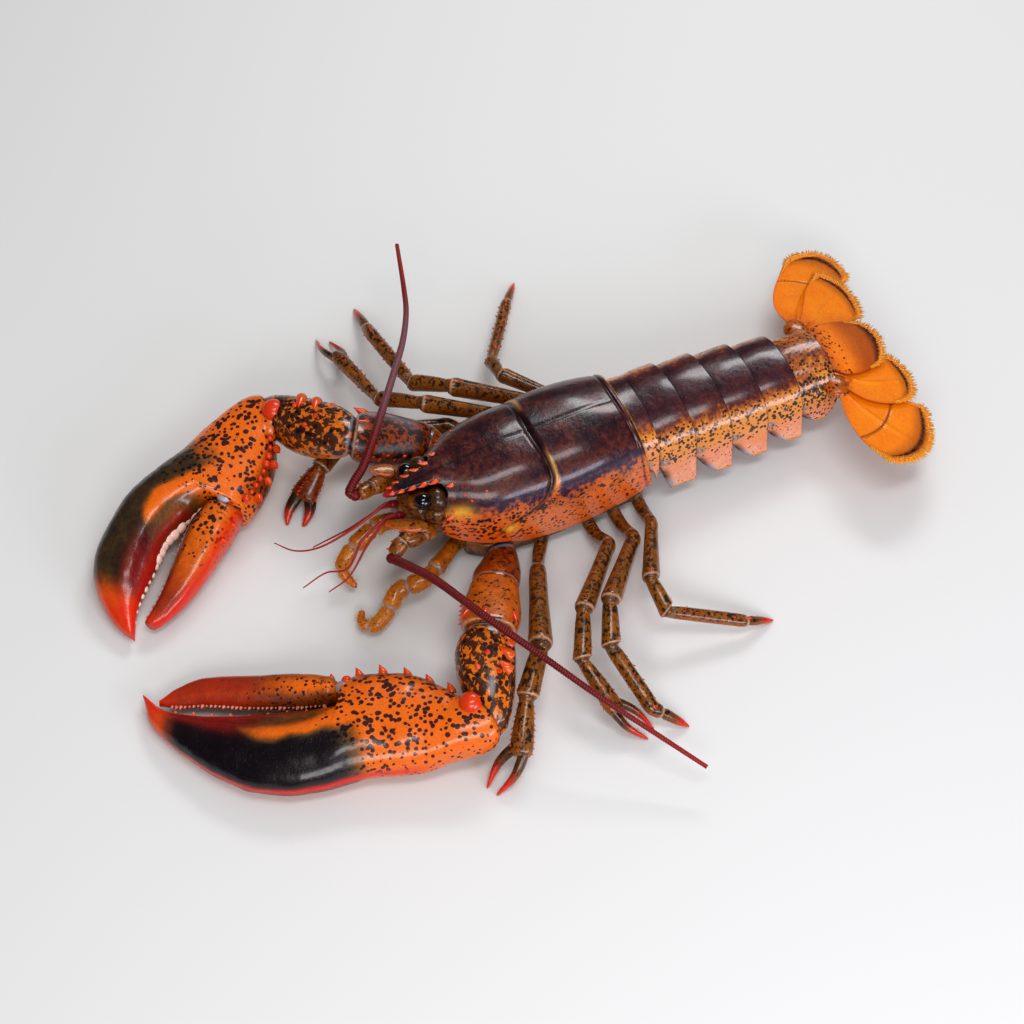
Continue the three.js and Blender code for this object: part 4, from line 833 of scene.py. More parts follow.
def makeFan():
    # A plate runs between two edge curves: point = inner (1 - v) + outer v, bowed at its end by
    # bow t^3 (1 - (2v - 1)^2), on the sheet of fanHeight.
    rows, columns = fanMesh["rows"], fanMesh["columns"]
    t = np.linspace(0, 1, rows)[:, None]
    v = np.linspace(0, 1, columns)[None, :]
    arc = 1 - (2 * v - 1) ** 2
    for plate in fanPlates:
        a, b = (smoothCurve([[x, y, 0] for x, y in [[edge[0], fan["rootY"]], *edge[1:]]], rows)
                for edge in (plate["inner"], plate["outer"]))
        middle = (a + b) / 2
        ahead = unit(middle - middle[0])[:, None]
        flat = a[:, None] * (1 - v[..., None]) + b[:, None] * v[..., None]
        flat = flat + ahead * (plate["bow"] * t ** 3 * arc)[..., None]
        telson = plate["node"] == "telson"
        outerPlate = "outer" in plate["node"]
        seam = fanMesh["seamAt"] + 0.03 * np.sin(np.pi * v)
        rib = 0.0 if telson else 0.55 * bump(v - 0.5, 0.035) * smooth(0, 0.1, t) * (1 - smooth(0.75, 0.98, t))
        rays = 0.06 * np.sin(v * 150) * smooth(0.75, 0.95, t)
        fold = (-0.35 * bump(t - seam, 0.008) + 0.2 * bump(t - seam + 0.018, 0.01)) if outerPlate else 0.0
        x, y = flat[..., 0], flat[..., 1]
        dip = 0.0 if telson else 0.8 * np.sin(np.pi * v) * t
        z = fanHeight(x, y) - plate["layer"] * fan["layer"] + plate["crown"] * arc + rib + rays + fold - dip
        outer = np.stack([x, y, z], -1)
        thick = fan["thickness"] * (1 - 0.6 * t ** 2) * (0.35 + 0.65 * np.sqrt(np.clip(arc, 0, 1)))
        inner = outer - np.array([0, 0, 1]) * np.broadcast_to(thick, z.shape)[..., None]
        # marks: a dark rim before the pale edge, darker seams, and a dark speckled telson
        rim = 0.35 * smooth(0.84, 0.93, t) + 0.65 * bump(t - 0.955, 0.016)
        rim = rim * (1 - 0.8 * smooth(0.978, 0.995, t)) * smooth(0.0, 0.2, arc)
        tone = 0.72 - 0.3 * smooth(0.45, 0.0, t) + 0.08 * arc
        dark = 1.2 * rim + 0.2 * bump(arc, 0.04)
        if outerPlate:
            dark = dark + 0.8 * bump(t - seam + 0.01, 0.008)
        if telson:
            tone = tone - 0.1 * (1 - smooth(0.1, 0.5, t)) - 0.25 * smooth(0.3, 0.7, t)
            dark = dark + 0.45 * smooth(0.35, 0.75, t) * (1 - smooth(0.92, 0.98, t))
        fleck = 0.95 * (1 - smooth(0.3, 0.6, t)) if telson else 0.3 * (1 - smooth(0.15, 0.4, t))
        patches = [slab(outer, inner, tone=tone, fleck=fleck, mottle=fleck * 0.6, dark=np.clip(dark, 0, 1),
                        tint=0.3 * smooth(0.965, 0.99, t) + 0.25 * bump(arc, 0.1)),
                   *fanFringe(outer, inner)]
        if outerPlate:
            pick = np.arange(6, columns - 6, 4)
            row = int(rows * fanMesh["spineRow"])
            ahead = unit(outer[row + 2, pick] - outer[row, pick])
            patches.append(spikes(outer[row, pick] - [0, 0, 0.25], ahead, 1.1, 0.35, sides=6, levels=3,
                                  tone=0.3, dark=0.7))
        if telson:
            corner = np.array([outer[-3, 1], outer[-3, -2]])
            patches.append(spikes(corner - [0, 0.6, 0.4], [[-0.3, 1, -0.1], [0.5, 1, -0.1]], 2.6, 0.8,
                                  sides=8, tone=0.5, tint=(0.2, 0.8)))
        makePiece(plate["node"].replace("_", "") + "Plate", patches, fanMaterial, [plate["node"]])


def fanFringe(outer, inner):
    # two rows of ragged hairs along the end and the last part of both sides, away from the middle
    rimLine = (outer[-1] + inner[-1]) / 2
    first, last = [(outer[-26:-1, k] + inner[-26:-1, k]) / 2 for k in (0, -1)]
    sides = np.vstack([first, rimLine, last[::-1]])
    count = int(walked(sides)[-1] / fanMesh["fringeStep"])
    base = evenly(sides, count)
    centre = outer[int(len(outer) * 0.45)].mean(0)
    outward = np.cross(unit(np.gradient(base, axis=0)), [0, 0, 1.0])
    outward *= np.sign(np.sum(outward * (base - centre), axis=1, keepdims=True))
    end = np.minimum(np.arange(count), np.arange(count)[::-1]) / count
    size = 2.3 * smooth(0, 0.22, end) + 0.3
    rowsOfHairs = []
    for lift in (0.2, -0.2):
        jitter = rng.normal(0, 0.16, (count, 3)) * [1, 1, 0.5]
        hair = rng.uniform(0.6, 1.0, count) * size
        rowsOfHairs.append(spikes(base - outward * 0.7 + [0, 0, lift], outward + jitter,
                                  hair * 1.35 + 0.8, 0.62, sides=4, levels=2, tone=0.78, pale=(0.1, 0.5)))
    return rowsOfHairs


def makeFanRoots():
    # rounded lobes that carry the side plates, tucked against the last ring
    patches = []
    for side in (-1, 1):
        centre = np.array([tailX(106) + side * 18.5, 104.5, 31.5])
        patches.append(ball(centre, 6.4, (1.15, 1.0, 0.5), 26, 34, tone=0.3, fleck=0.8, mottle=0.6))
        patches.append(spikes([centre + [side * 4.6, 3.6, 0.8], centre + [side * 0.6, 5, 1.6]],
                              [[side * 0.7, 1, 0], [side * 0.2, 1, 0]], 3.2, 1.3, sides=8, tone=0.5,
                              tint=(0, 0.7)))
    makePiece("fanRootLobes", patches, fanMaterial, [])


# Limbs

def between(a, b, t):
    # point at share t of the way from a to b
    return np.asarray(a, float) * (1 - t) + np.asarray(b, float) * t


def jointPlane(before, joint, after):
    # the normal halves the angle between the two pieces that meet at the joint
    a = unit(np.subtract(joint, before).astype(float))
    b = unit(np.subtract(after, joint).astype(float))
    return unit(a + b)


def scaled(shape, wide, tall):
    # the same shape with its half widths and half heights multiplied
    return [[share, w * wide, h * tall] for share, w, h in shape]


def underTone(base, gain, low=-0.8):
    # base, plus gain where the surface faces down
    return lambda t, up: base + gain * smooth(0.1, low, up)


def limbPart(points, shape, count=90, sides=28, **options):
    # Tube along a smooth curve; shape holds [share of the length, half width, half height]. A mark
    # may be a function of t, the share of the length, and up, from -1 below to 1 on top.
    marksGiven = {key: options.pop(key) for key in list(options) if key in marks}
    path = smoothCurve(points, count)
    t = np.linspace(0, 1, count)
    wide = profile([[s, w] for s, w, _ in shape], t)
    tall = profile([[s, h] for s, _, h in shape], t)
    rings = tubeRings(path, wide, tall, sides, **options)
    up = np.clip(((rings - path[:, None])[..., 2]) / np.maximum(tall, 0.2)[:, None], -1, 1)
    values = {key: value(t[:, None], up) if callable(value) else value for key, value in marksGiven.items()}
    return loft(rings, **values), rings, path


def ringPoints(rings, shares, angles):
    # points on a tube at shares of its length and of its girth, with their outward directions
    rows = np.clip((np.asarray(shares) * (len(rings) - 1)).astype(int), 0, len(rings) - 1)
    columns = (np.asarray(angles) * rings.shape[1]).astype(int) % rings.shape[1]
    points = rings[rows, columns]
    return points, unit(points - rings[rows].mean(1))


legs = [
    {"node": "leg_2_left", "pincer": True, "girth": 1.26, "hand": 5,
     "root": (22, -48, 5.2), "bend": (33, -56, 6.4), "hip": (50, -65, 15), "knee": (91, -84, 28),
     "wrist": (108.6, -99.3, 22), "foot": (127.3, -111.2, 13), "tip": (135.1, -126.5, 0.6),
     "thumb": (130, -128.8, 0.6)},
    {"node": "leg_3_left", "pincer": True, "girth": 1.06, "hand": 4.2,
     "root": (22, -27, 5.2), "bend": (34, -27.6, 6.2), "hip": (47, -27.6, 14), "knee": (82.5, -58.9, 28),
     "wrist": (100.7, -68.4, 20), "foot": (124.6, -64, 11), "tip": (138.8, -55, 0.6),
     "thumb": (135.4, -50.4, 0.8)},
    {"node": "leg_4_left", "pincer": False, "girth": 1.1,
     "root": (22, -13.5, 5.2), "bend": (34, -14.4, 6.2), "hip": (50, -16.5, 15), "knee": (83.4, -46.2, 28),
     "wrist": (99.7, -53.8, 20), "foot": (130.9, -49.5, 12), "tip": (140.9, -35.8, 0.6)},
    {"node": "leg_5_left", "pincer": False, "girth": 0.96,
     "root": (22, -0.5, 5.4), "bend": (33, -2, 7), "hip": (45.9, -5, 15), "knee": (78.3, -22.8, 24),
     "wrist": (93.2, -22.1, 18), "foot": (107.3, 10.7, 8), "tip": (108.5, 25, 0.6)},
    {"node": "leg_2_right", "pincer": True, "girth": 1.16, "hand": 6.2,
     "root": (-22, -48, 5.2), "bend": (-34, -54, 6.4), "hip": (-50, -63, 10), "knee": (-63, -108, 14),
     "wrist": (-51.4, -129, 12.5), "foot": (-43, -141.5, 7.5), "tip": (-36.6, -152.6, 0.6),
     "thumb": (-32.5, -146, 0.6)},
    {"node": "leg_3_right", "pincer": True, "girth": 0.96, "hand": 3.6,
     "root": (-22, -27, 5.2), "bend": (-32, -29.5, 6.8), "hip": (-40, -35, 13), "knee": (-55.2, -74.4, 28),
     "wrist": (-72.5, -89.3, 20), "foot": (-111.5, -93.6, 11), "tip": (-134.3, -96.2, 0.6),
     "thumb": (-130.5, -90.6, 0.6)},
    {"node": "leg_4_right", "pincer": False, "girth": 1.02,
     "root": (-22, -13.5, 5.2), "bend": (-32, -15, 6.8), "hip": (-40, -18.5, 14), "knee": (-59.5, -57.9, 27),
     "wrist": (-74.4, -70.8, 20), "foot": (-116, -73.3, 12), "tip": (-144.6, -71.2, 0.6)},
    {"node": "leg_5_right", "pincer": False, "girth": 0.86,
     "root": (-22, -0.5, 5.4), "bend": (-32, -3, 8), "hip": (-38, -8, 13), "knee": (-60.8, -30.6, 20),
     "wrist": (-72.8, -29.7, 16), "foot": (-108.9, -4.2, 8), "tip": (-125.2, 8.2, 0.6)},
]
# half width and half height over the length; all but the coxa are multiplied by the leg's girth,
# and the widths of the hand and its fingers by the hand's half width
legShape = {
    "coxa": [[0, 3, 3], [0.14, 3.1, 3.1], [0.3, 3, 3.3]],
    "thigh": [[0.36, 3.1, 3.6], [0.62, 3.5, 4], [0.9, 4.2, 4.6], [0.965, 4.3, 4.7], [1, 3.3, 3.6]],
    "shin": [[0, 2.7, 3.1], [0.1, 3, 3.4], [0.3, 3.4, 3.7], [0.75, 3.8, 4.1], [0.93, 3.9, 4.1], [1, 3, 3.2]],
    "hand": [[0, 0.58, 2.9], [0.2, 0.76, 3.3], [0.65, 0.98, 3.3], [0.9, 1, 2.9], [1, 0.8, 2.1]],
    "finger": [[0, 0.48, 2.2], [0.3, 0.46, 2.1], [0.6, 0.34, 1.6], [0.9, 0.15, 0.9], [1, 0.05, 0.35]],
    "toe": [[0, 2.6, 2.8], [0.1, 3.1, 3.1], [0.6, 3.2, 2.8], [0.69, 2.9, 2.6], [0.72, 2.2, 1.9],
            [0.76, 2.4, 2.1], [0.9, 1.7, 1.5], [0.985, 0.6, 0.6], [1, 0.3, 0.3]],
}
legMarks = {
    "tone": underTone(0.5, 0.3, -0.9),
    "fleck": lambda t, up: 0.5 + 0.4 * smooth(0.2, 0.9, up),
    "mottle": lambda t, up: 0.75 * smooth(-0.3, 0.7, up),
}


def spinules(rings, count, low, high, girth, length, seed, lean):
    # a loose row of small red spines along a tube
    draw = np.random.default_rng(seed)
    share = np.linspace(low, high, count) + draw.uniform(-0.015, 0.015, count)
    base, outward = ringPoints(rings, share, np.full(count, girth) + draw.uniform(-0.03, 0.03, count))
    size = length * draw.uniform(0.7, 1.25, count)
    return spikes(base - outward * 0.15, outward + np.asarray(lean) * 0.7, size, size * 0.42, sides=6,
                  levels=4, tone=0.7, tint=(0.55, 0.95))


def bristles(rings, count, low, high, length, seed, lean, **mark):
    # short stiff hairs scattered round a tube
    draw = np.random.default_rng(seed)
    base, outward = ringPoints(rings, draw.uniform(low, high, count), draw.uniform(0, 1, count))
    direction = outward * 0.8 + np.asarray(lean) + draw.normal(0, 0.25, (count, 3))
    return spikes(base - outward * 0.2, direction, length * draw.uniform(0.5, 1.1, count), 0.1, sides=3,
                  levels=2, tone=1.0, **mark)


def marksAlong(*spots):
    # sum of bell curves along a limb, each given as (strength, share of the length, reach)
    return lambda t, up: sum(strength * bump(t - share, reach) for strength, share, reach in spots)


def makeLegs():
    # each leg is three tubes whose ends lie in the planes that halve its knee and its wrist
    for number, leg in enumerate(legs):
        side = 1 if leg["root"][0] > 0 else -1
        girth = leg["girth"]
        name = leg["node"].replace("_", "")
        p = {key: np.array(value, float) for key, value in leg.items() if isinstance(value, tuple)}
        kneePlane = jointPlane(p["hip"], p["knee"], p["wrist"])
        wristPlane = jointPlane(p["knee"], p["wrist"], p["foot"])
        thigh, thighRings, _ = limbPart(
            [p["root"], p["bend"], p["hip"], between(p["hip"], p["knee"], 0.12),
             between(p["hip"], p["knee"], 0.5), p["knee"]],
            legShape["coxa"] + scaled(legShape["thigh"], girth, girth), 150,
            startPlane=np.array([side, 0.0, 0]), endPlane=kneePlane, **legMarks,
            dark=marksAlong((0.6, 0.33, 0.006), (0.7, 0.995, 0.006)),
            pale=marksAlong((0.5, 0.352, 0.007), (0.45, 0.978, 0.008)),
            cool=marksAlong((0.4, 0.02, 0.04), (0.2, 0.34, 0.006)))
        shin, shinRings, _ = limbPart(
            [p["knee"], between(p["knee"], p["wrist"], 0.5) + [0, 0, 0.4], p["wrist"]],
            scaled(legShape["shin"], girth, girth), 80, startPlane=kneePlane, endPlane=wristPlane,
            **legMarks, dark=marksAlong((0.5, 0, 0.02), (0.7, 0.99, 0.012)),
            pale=marksAlong((0.45, 0.945, 0.018)), cool=marksAlong((0.12, 0.05, 0.03)))
        jointRise = np.array([0, 0, 0.6 * girth])
        makePiece(name + "Thigh", [
            thigh, spinules(thighRings, 5, 0.93, 0.975, 0.25, 0.9, number, unit(p["knee"] - p["hip"])),
            ball(p["knee"] + jointRise, 3.1 * girth, rows=14, columns=20, tone=0.45, dark=0.3),
        ], legMaterial, [leg["node"] + "_thigh"])
        ahead = unit(p["foot"] - p["wrist"])
        makePiece(name + "Shin", [
            shin, spinules(shinRings, 4, 0.8, 0.96, 0.04, 0.8, number + 20, ahead),
            spinules(shinRings, 4, 0.75, 0.96, 0.45, 0.8, number + 30, ahead),
            ball(p["wrist"] + jointRise, 2.9 * girth, rows=14, columns=20, tone=0.45, dark=0.3),
        ], legMaterial, [leg["node"] + "_shin"])
        makeEnd = pincerPatches if leg["pincer"] else toePatches
        patches, rings = makeEnd(leg, p, wristPlane, number)
        for around in (0.02, 0.22, 0.5, 0.7):
            patches.append(spinules(rings, 9, 0.12, 0.95 if leg["pincer"] else 0.62, around, 1.15,
                                    number * 11 + int(around * 100), ahead))
        makePiece(name + "Foot", patches, legMaterial, [leg["node"] + "_foot"])


def pincerPatches(leg, p, wristPlane, number):
    # hand that widens to the root of its two fingers, which carry small teeth and bristles
    girth, hand = leg["girth"], leg["hand"]
    red = 0.5 if leg["node"] == "leg_2_right" else 0.0
    palm, palmRings, _ = limbPart(
        [p["wrist"], between(p["wrist"], p["foot"], 0.5), between(p["wrist"], p["foot"], 1.06)],
        scaled(legShape["hand"], hand, girth), 100, 32, startPlane=wristPlane, **legMarks,
        dark=lambda t, up: red * smooth(0.1, 0.5, t) * smooth(-0.6, 0.2, up) + 0.5 * bump(t, 0.015),
        tint=0.25 * red, cool=marksAlong((0.12, 0.04, 0.03)))
    patches = [palm]
    for end, other in ((p["tip"], p["thumb"]), (p["thumb"], p["tip"])):
        outward = unit(end - other)
        start = between(p["foot"], p["wrist"], 0.12) + outward * 0.45 * hand
        middle = between(start, end, 0.5) + outward * 0.09 * np.linalg.norm(end - start)
        finger, rings, path = limbPart(
            [start, middle, end], scaled(legShape["finger"], hand, girth), 70, 20, tone=0.34, fleck=0.4,
            mottle=legMarks["mottle"], tint=lambda t, up: 0.95 * smooth(0.35, 0.85, t),
            dark=lambda t, up: (0.35 + red) * bump(t - 0.3, 0.3))
        patches.append(finger)
        patches.append(bristles(rings, 90, 0.35, 0.97, 1.3, number * 7 + 3, unit(end - start),
                                tint=(0.3, 0.7)))
        row = np.linspace(0.3, 0.95, 16)
        base = path[(row * (len(path) - 1)).astype(int)]
        reach = 0.42 * hand * (1.1 - row)[:, None]
        patches.append(spikes(base - outward * reach, -outward, 0.9, 0.34, sides=5, levels=3, tone=1.0,
                              tint=(0.6, 0.4)))
    return patches, palmRings


def toePatches(leg, p, wristPlane, number):
    # long foot joint, a narrow seam, and a bristly pointed toe
    girth = leg["girth"]
    path = [p["wrist"], between(p["wrist"], p["foot"], 0.15), between(p["wrist"], p["foot"], 0.85),
            p["foot"], between(p["foot"], p["tip"], 0.4), p["tip"]]
    toe, rings, _ = limbPart(
        path, scaled(legShape["toe"], girth, girth), 150, 26, startPlane=wristPlane, **legMarks,
        dark=marksAlong((0.6, 0.725, 0.008), (0.5, 0, 0.012), (0.35, 0.82, 0.06)),
        pale=marksAlong((0.4, 0.7, 0.012)), cool=marksAlong((0.12, 0.03, 0.025)),
        tint=lambda t, up: 0.95 * smooth(0.8, 0.95, t))
    ahead = unit(p["foot"] - p["wrist"])
    spur = spikes([p["foot"] + [0, 0, 2.0 * girth]], ahead + [0, 0, 0.25], 3.4, 1, sides=8, tone=0.7,
                  tint=(0.4, 0.9))
    hairs = bristles(rings, 140, 0.76, 0.96, 1.3, number * 7 + 5, unit(p["tip"] - p["foot"]) * 1.5,
                     tint=(0.3, 0.7))
    return [toe, spur, hairs], rings


# Claws

# Each claw is laid out in u along it from the wrist and v across it towards the other claw; its
# tables give v, the height of its middle or its half thickness over u.
claws = [
    {"side": "left", "wrist": (106, -120), "tip": (32, -243.6), "inner": -1, "split": 62.4,
     "palmOuter": [[0, -9], [3, -13], [7, -17.4], [14, -22], [30, -27], [46, -30], [62, -36.5],
                   [80, -40.5], [98, -38.5], [117, -30], [134, -18], [145, -7.5], [150, 4.5]],
     "palmInner": [[0, 7.4], [9, 7.8], [13, 9.8], [16, 12.6], [28, 18.5], [41, 20.4], [55, 18], [62, 14.8]],
     "fingerInner": [[63, 2.2], [68, 1], [80, -1.5], [103, -4.6], [124, -5], [138, -3], [147, 3.5],
                     [150, 5.5]],
     "dactylInner": [[63.4, 4], [68, 3.4], [80, 1.6], [104, 0.6], [122, 0.8], [134, -0.4], [142, 0.9]],
     "dactylOuter": [[63.4, 13.6], [68, 15.6], [76, 17.2], [90, 17], [106, 15.7], [124, 14.6],
                     [136, 8.2], [142, 2.2]],
     "centre": [[0, 21.4], [8, 17.6], [18, 14.2], [30, 12.9], [60, 12], [85, 10.4], [110, 8.6],
                [135, 6.4], [150, 4.6]],
     "depth": [[0, 8.6], [8, 11.4], [18, 13], [45, 13.4], [62, 12.4], [85, 10.8], [110, 9], [135, 6],
               [150, 2]],
     "spines": [[14, 12.6], [24, 17], [34, 20], [45, 20.6], [55, 18.4]], "dactylSpines": [[67, 15.2]],
     "dactylDepth": 0.8, "teethFrom": 68, "teethTo": 140, "teeth": 36, "dactylTeeth": 36, "toothSize": 1.1,
     "black": [50, 66, 0.42, 0.6], "bandEnd": 100, "dotsTo": [58, 78], "knobAt": 4.6},
    {"side": "right", "wrist": (-80, -141), "tip": (-5.5, -238.5), "inner": 1, "split": 48.4,
     "palmOuter": [[0, -9], [3, -13.5], [7, -19.5], [12, -24.5], [20, -28], [34, -31], [56, -38.4],
                   [78, -40], [97, -37], [108, -30.4], [117, -19.6], [122.4, -7], [123, -1]],
     "palmInner": [[0, 7.4], [9, 8], [13, 10.6], [20, 13.4], [30, 15.6], [40, 16.2], [48, 15.4]],
     "fingerInner": [[49, -4.2], [56, -6.8], [66, -9.8], [77, -11.4], [90, -9], [102, -7.2], [113, -5.4],
                     [123, -0.4]],
     "dactylInner": [[49.2, -2.4], [55, -4.4], [65, -5.8], [77, -3.8], [92, -0.8], [106, 0.6], [115, 0.6]],
     "dactylOuter": [[49.2, 13.4], [56, 14.4], [64, 14.6], [82, 14.6], [101, 12], [113, 7.6], [119, 1.4]],
     "centre": [[0, 24], [10, 18.5], [25, 15], [50, 14.2], [75, 12.6], [100, 9.6], [123, 5.6]],
     "depth": [[0, 8.8], [6, 11.6], [18, 14.4], [35, 15.4], [52, 14.8], [75, 13], [100, 9.8], [114, 6.4],
               [123, 2.4]],
     "spines": [[12.5, 11.8], [20, 14.8], [29, 16.6], [39, 17.4]], "dactylSpines": [[58, 14.4], [67, 14.6]],
     "dactylDepth": 0.84, "teethFrom": 54, "teethTo": 116, "teeth": 17, "dactylTeeth": 22, "toothSize": 1.3,
     "black": [26, 46, 0.4, 0.56], "bandEnd": 74, "dotsTo": [44, 66], "knobAt": -1.2},
]


def clawAxes(claw):
    # where u = v = 0 lies on the floor, and the directions of u and v
    origin = np.array([*claw["wrist"], 0.0])
    along = unit(np.array([*claw["tip"], 0.0]) - origin)
    across = np.array([-along[1], along[0], 0]) * claw["inner"]
    return origin, along, across


def clawPoint(claw, u, v, z):
    # point at u along the claw, v across it and height z
    origin, along, across = clawAxes(claw)
    u, v, z = np.broadcast_arrays(u, v, z)
    return origin + u[..., None] * along + v[..., None] * across + z[..., None] * np.array([0, 0, 1.0])


def wristPlaneOf(claw):
    # the plane that halves the angle between the arm's last piece and the claw, seen from above
    arm = next(a for a in arms if a["side"] == claw["side"])
    wrist = np.array(arm["wrist"], float)
    elbow = np.array([arm["elbow"][0], arm["elbow"][1], wrist[2]])
    return jointPlane(elbow, wrist, wrist + clawAxes(claw)[1])


def clawRings(claw, u, low, middle, high, centre, depth, sides, lean=0.0):
    # rings v = middle + reach cos^p, z = centre + depth sin^p; they may lean to the wrist's plane
    angle = np.linspace(0, 2 * np.pi, sides, endpoint=False)[None, :]
    c, s = np.cos(angle), np.sin(angle)
    power, leastReach = 0.85, 0.35
    low, middle, high, centre, depth = (a[:, None] for a in (low, middle, high, centre, depth))
    reach = np.where(c > 0, np.maximum(high - middle, leastReach), np.maximum(middle - low, leastReach))
    v = middle + reach * np.sign(c) * np.abs(c) ** power
    z = centre + depth * np.sign(s) * np.abs(s) ** power
    _, along, across = clawAxes(claw)
    plane = wristPlaneOf(claw)
    shift = np.broadcast_to(lean, u.shape)[:, None] * v * -(across @ plane) / (along @ plane)
    return clawPoint(claw, u[:, None] + shift, v, z), c, s, v


def makeClaws():
    for claw in claws:
        makePalm(claw)
        makeDactyl(claw)


def makePalm(claw):
    # palm and fixed finger: rings from the wrist's plane to the tip
    cutter = claw["side"] == "left"
    end, split, gap = claw["palmOuter"][-1][0], claw["split"], 0.4
    palmU = np.linspace(0.25, split - gap, 90)
    fingerU = split + gap + (end - split - gap) * (1 - (1 - np.linspace(0, 1, 120)) ** 1.25)
    u = np.concatenate([palmU, fingerU])
    low = profile(claw["palmOuter"], u)
    high = np.where(u <= split, profile(claw["palmInner"], u), profile(claw["fingerInner"], u))
    onFinger = smooth(split - 16, split + 16, u)
    virtual = profile(claw["palmInner"], u) * (1 - onFinger) + profile(claw["fingerInner"], u) * onFinger
    centre = profile(claw["centre"], u) - 0.5
    rings, c, s, v = clawRings(claw, u, low, (low + virtual) / 2, high, centre, profile(claw["depth"], u),
                               108, 1 - smooth(0, 13, u))
    normal = gridNormals(rings, True)
    normal *= np.sign(np.sum(normal * (rings - rings.mean(1, keepdims=True)), -1).mean())
    u, low, virtual, onFinger = (a[:, None] for a in (u, low, virtual, onFinger))
    w = np.clip((v - low) / (virtual - low), 0, 1.2)
    ridge = 0.8 * bump(w - 0.6, 0.14) * (s > 0) * onFinger * (1 - smooth(end - 25, end - 6, u))
    trough = -0.7 * bump(w - 0.84, 0.08) * (s > 0) * onFinger * (1 - smooth(end - 30, end - 10, u))
    relief = wobble(rings, 22, 40 + cutter) * 0.4 + wobble(rings, 7, 44 + cutter) * 0.12
    rings = rings + normal * (relief * smooth(2, 12, u) + ridge + trough)[..., None]
    # colour zones over u along the claw and w from the outer edge to the gape
    under = smooth(-0.05, -0.6, s)
    tipShade = 1 - smooth(end - 24, end - 8, u)
    wave = 0.03 * np.sin(u / 7) + 0.012 * np.sin(u / 2.3 + 1)
    blackFrom, blackFull, wFull, wNone = claw["black"]
    widen = 0.34 * smooth(claw["bandEnd"] - 8, claw["bandEnd"] + 16, u)
    black = smooth(wNone, wFull, w + wave - widen) * smooth(blackFrom - 6, blackFull, u + 20 * (0.3 - w))
    black = black * tipShade * (1 - 0.8 * under)
    khaki = smooth(0.64, 0.78, w) * smooth(split - 2, split + 10, u) * tipShade * (1 - under)
    lip = smooth(0.84, 0.97, w) * smooth(split + 2, split + 14, u) * (1 - under)
    edgePink = smooth(0.2, 0.04, w) * (1 - smooth(blackFrom - 4, blackFull, u)) * (0.3 if cutter else 1)
    far = smooth(split + 22, split + 50, u)
    tone = 0.7 + 0.14 * edgePink + 0.14 * under - 0.68 * black * (1 if cutter else 0.68)
    tone = tone - (0.34 * khaki + 0.3 * far * (1 - under) * (1 - black)) * (1 - smooth(end - 20, end - 6, u))
    dotsFrom, dotsNone = claw["dotsTo"]
    fleck = (1 - smooth(dotsFrom, dotsNone, u)) * (1 - 0.4 * under) * (1 - 0.8 * edgePink)
    innerDark = 0.75 * smooth(0.84, 0.96, w) * (1 - smooth(split - 14, split - 2, u))
    innerDark = innerDark * smooth(4, 12, u) * (1 - under)
    rimRed = bump(s, 0.13) * (c < 0) * smooth(14, 34, u) * (1 if cutter else 0.7)
    tipRed = smooth(end - 20, end - 3, u)
    farDark = 0.42 * far * smooth(0.38, 0.6, w) * (1 - under) * (1 - lip)
    dark = (0.75 * lip + farDark + innerDark) * (1 - tipRed) + 0.4 * bump(u, 1.6)
    tint = 0.95 * rimRed + 0.85 * tipRed + 0.3 * lip + 0.25 * far * smooth(0.5, 0.7, w) * (1 - under)
    palm = loft(rings, tone=np.clip(tone, 0, 1), fleck=np.clip(fleck, 0, 1), mottle=0.25 * fleck,
                dark=np.clip(dark, 0, 1), tint=np.clip(tint, 0, 1))
    patches = [palm, *palmSpines(claw), *palmTeeth(claw, cutter), *palmHinge(claw, cutter)]
    makePiece(claw["side"] + "ClawPalm", patches, clawMaterial, ["claw_palm_" + claw["side"]])

def palmSpines(claw):
    # one row of red spines on the cutter's inner edge; round tubercles between them on the crusher's
    _, along, across = clawAxes(claw)
    u, v = np.array(claw["spines"], float).T
    z = profile(claw["centre"], u) - 0.5 + profile(claw["depth"], u) * 0.35
    away = across + along * 0.35 + np.array([0, 0, 0.45])
    patches = [spikes(clawPoint(claw, u, v - 1.4, z), away, 3.9, 2.1, sides=14, levels=10, curve=0.25,
                      toward=along, tone=0.72, tint=(0.35, 0.95), fleck=0.2)]
    if claw["side"] == "right":
        knobU = np.linspace(11, claw["split"] - 4, 9)
        knobV = profile(claw["palmInner"], knobU) - 2.6
        knobZ = profile(claw["centre"], knobU) + profile(claw["depth"], knobU) * 0.62
        for centre, size in zip(clawPoint(claw, knobU, knobV, knobZ), rng.uniform(1.1, 1.9, 9)):
            patches.append(ball(centre, size, rows=12, columns=16, tone=0.7, tint=0.85))
    return patches


